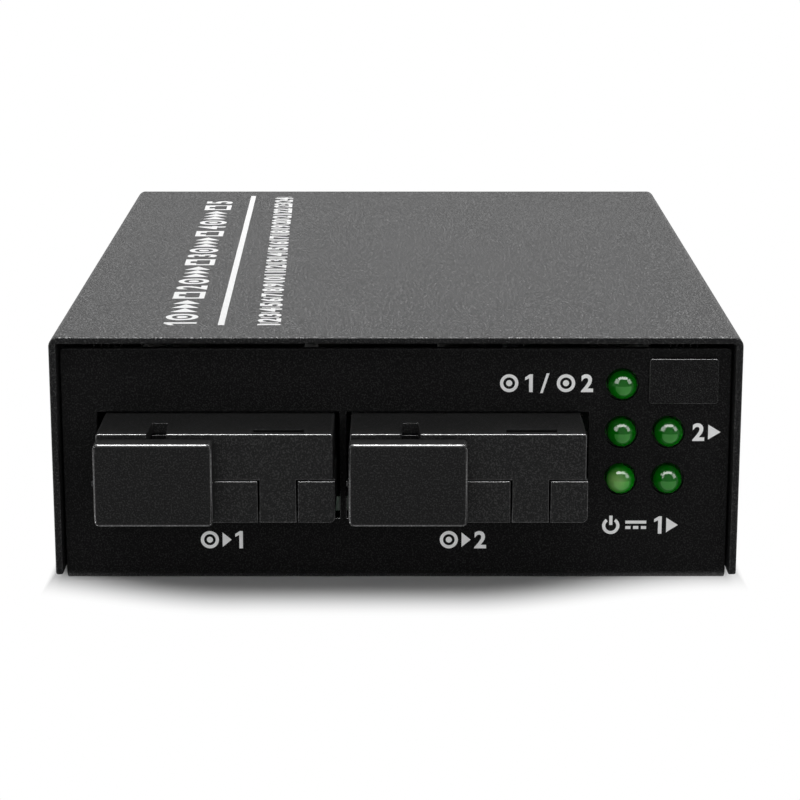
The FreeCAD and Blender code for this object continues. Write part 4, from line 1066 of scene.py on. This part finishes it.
class CONVERTER_OT_stage(Piece, bpy.types.Operator):
    """White floor, soft studio light and the camera"""

    bl_idname = "converter.stage"
    bl_label = "Stage"

    lens = 111.53
    distance = 253.44 * MM
    height = 83.81 * MM
    pitch = 14.09
    shift = 0.0051
    white = (1.0, 1.0, 1.0, 1.0)
    matt_white = (0.82, 0.82, 0.82, 1.0)
    dim = 0.16
    # Painted shadow: the floor's white glow is held back near the cover; this painted shadow reaches
    # furthest this far left of the middle, and loses reach to each side.
    shade_offset = 5 * MM
    shade_sides = (12 * MM, 40 * MM)
    shade_loss = 8 * MM
    # The painted shadow fades between these distances from the cover's ends, and sooner beside the cover.
    shade_fade = (0.5 * MM, 11.5 * MM)
    beside_gain = 10

    def make(self, sizes, finish):
        scene = bpy.context.scene
        scene.view_settings.view_transform = "Standard"
        self.floor()
        self.world(scene)
        self.lamps()
        camera = bpy.data.cameras.new("camera")
        camera.lens, camera.sensor_width, camera.shift_x = self.lens, 36.0, self.shift
        camera.clip_start, camera.clip_end = 0.01, 50.0
        scene.camera = shown("camera", camera)
        scene.camera.location = (0.0, CASE_FRONT - self.distance, self.height)
        scene.camera.rotation_euler = (math.radians(90.0 - self.pitch), 0.0, 0.0)

    @staticmethod
    def seen(graph):
        """One for the camera and for what gloss and glass show, nothing for light."""
        path = graph.node("ShaderNodeLightPath")
        first, *others = (Value(graph, path.outputs[f"Is {ray} Ray"]) for ray in DIRECT_RAYS)
        return sum(others, first).clamped()

    def floor(self):
        """Matt white sheet that keeps the object's shadow and turns pure white away from it; near the
        cover a painted shadow, where its white glow is held back, adds to the real one.
        """
        finish = Finish("white_floor")
        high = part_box("cover")[1]
        x, y, _ = finish.axes(finish.place)
        ahead = abs(y) - high.y
        ahead += finish.between(abs(x + self.shade_offset), *self.shade_sides, 0.0, self.shade_loss)
        away = ahead.larger((abs(x) - high.x) * self.beside_gain)
        # painted shadow: the white glow that camera and gloss see is left out near the cover
        glow = finish.between(away, *self.shade_fade, 0.0, 1.0) * self.seen(finish)
        matt = finish.node("ShaderNodeBsdfDiffuse", {}, {"Color": self.matt_white})
        white = finish.node("ShaderNodeEmission", {}, {"Color": self.white, "Strength": 1.0})
        both = finish.node("ShaderNodeMixShader", {}, {0: glow, 1: matt, 2: white})
        finish.join(both, finish.output.inputs["Surface"])
        finish.tree.nodes.remove(finish.shader)
        sheet = bmesh.new()
        under = Matrix.Translation((0.0, 0.0, -0.01 * MM))
        bmesh.ops.create_circle(sheet, cap_ends=True, radius=6.0, segments=96, matrix=under)
        mesh = to_mesh(sheet, "floor")
        mesh.materials.append(finish.material)
        shown("floor", mesh)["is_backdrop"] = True

    def world(self, scene):
        """A white backdrop low behind the object, and a dim studio elsewhere."""
        world = scene.world or bpy.data.worlds.new("studio")
        scene.world = world
        world.use_nodes = True
        sky = Graph(world.node_tree)
        _, back, up = sky.axes(sky.node("ShaderNodeTexCoord").outputs["Generated"])
        backdrop = sky.between(back, -0.3, 0.5, 0.0, 1.0) * sky.between(up, 0.4, 0.7, 1.0, 0.0)
        level = (self.dim + backdrop * (1 - self.dim)).larger(self.seen(sky))
        glow = sky.node("ShaderNodeBackground", {}, {"Color": self.white, "Strength": level})
        sky.node("ShaderNodeOutputWorld", {}, {"Surface": glow})

    def lamps(self):
        """A softbox overhead, a weak fill in front, and strips that only gloss shows."""
        self.lamp("key_softbox", (0.1, 0.36, 0.42), (0.0, 0.0, 0.02), (0.6, 0.22), 3.0)
        fill = self.lamp("front_fill", (0.1, -0.95, 0.22), (0.0, 0.0, 0.01), (0.8, 0.4), 3.4)
        fill.visible_glossy = False
        middle, reach = middle_of("led_left_middle"), 0.5
        lenses = bpy.data.collections.new("lenses")
        for name in ("green_indicators", "power_indicator"):
            lenses.objects.link(bpy.data.objects[name])
        strips = [
            ("top_strip", (0.0, -0.36, 0.93), (0.62, 0.2), 12.0, None),
            ("left_strip", (-0.72, -0.44, 0.54), (0.3, 0.3), 4.4, lenses),
            ("right_strip", (0.75, -0.42, 0.52), (0.24, 0.28), 3.3, lenses),
        ]
        for name, way, size, power, only in strips:
            strip = self.lamp(name, middle + Vector(way) * reach, middle, size, power)
            strip.visible_diffuse = False
            strip.light_linking.receiver_collection = only

    @staticmethod
    def lamp(name, place, target, size, power):
        """A rectangular lamp that looks at a point."""
        light = bpy.data.lights.new(name, "AREA")
        light.shape, light.size, light.size_y, light.energy = "RECTANGLE", *size, power
        lamp = shown(name, light)
        lamp.location = place
        lamp.rotation_euler = (Vector(target) - Vector(place)).to_track_quat("-Z", "Y").to_euler()
        return lamp


OPERATORS = (
    CONVERTER_OT_case,
    CONVERTER_OT_screws,
    CONVERTER_OT_transceivers,
    CONVERTER_OT_caps,
    CONVERTER_OT_indicators,
    CONVERTER_OT_legends,
    CONVERTER_OT_lid_print,
    CONVERTER_OT_sockets,
    CONVERTER_OT_board,
    CONVERTER_OT_stage,
)


class CONVERTER_PT_panel(bpy.types.Panel):
    """Sizes, colours and pieces of the converter"""

    bl_idname = "CONVERTER_PT_panel"
    bl_label = "Fibre media converter"
    bl_space_type = "VIEW_3D"
    bl_region_type = "UI"
    bl_category = "Converter"

    def draw(self, context):
        for group in (context.scene.converter_sizes, context.scene.converter_colours):
            for name in group.__annotations__:
                self.layout.prop(group, name)
        for operator in OPERATORS:
            self.layout.operator(operator.bl_idname)


CLASSES = (ConverterSizes, ConverterColours, *OPERATORS, CONVERTER_PT_panel)


def register():
    for item in CLASSES:
        bpy.utils.register_class(item)
    bpy.types.Scene.converter_sizes = PointerProperty(type=ConverterSizes)
    bpy.types.Scene.converter_colours = PointerProperty(type=ConverterColours)


def unregister():
    del bpy.types.Scene.converter_colours
    del bpy.types.Scene.converter_sizes
    for item in reversed(CLASSES):
        bpy.utils.unregister_class(item)


def corners():
    """The shown object's box as plain lists."""
    return [list(corner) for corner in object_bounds()]


def main():
    register()
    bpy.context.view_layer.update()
    for operator in OPERATORS:
        group, name = operator.bl_idname.split(".")
        getattr(getattr(bpy.ops, group), name)()


if __name__ == "__main__":
    main()
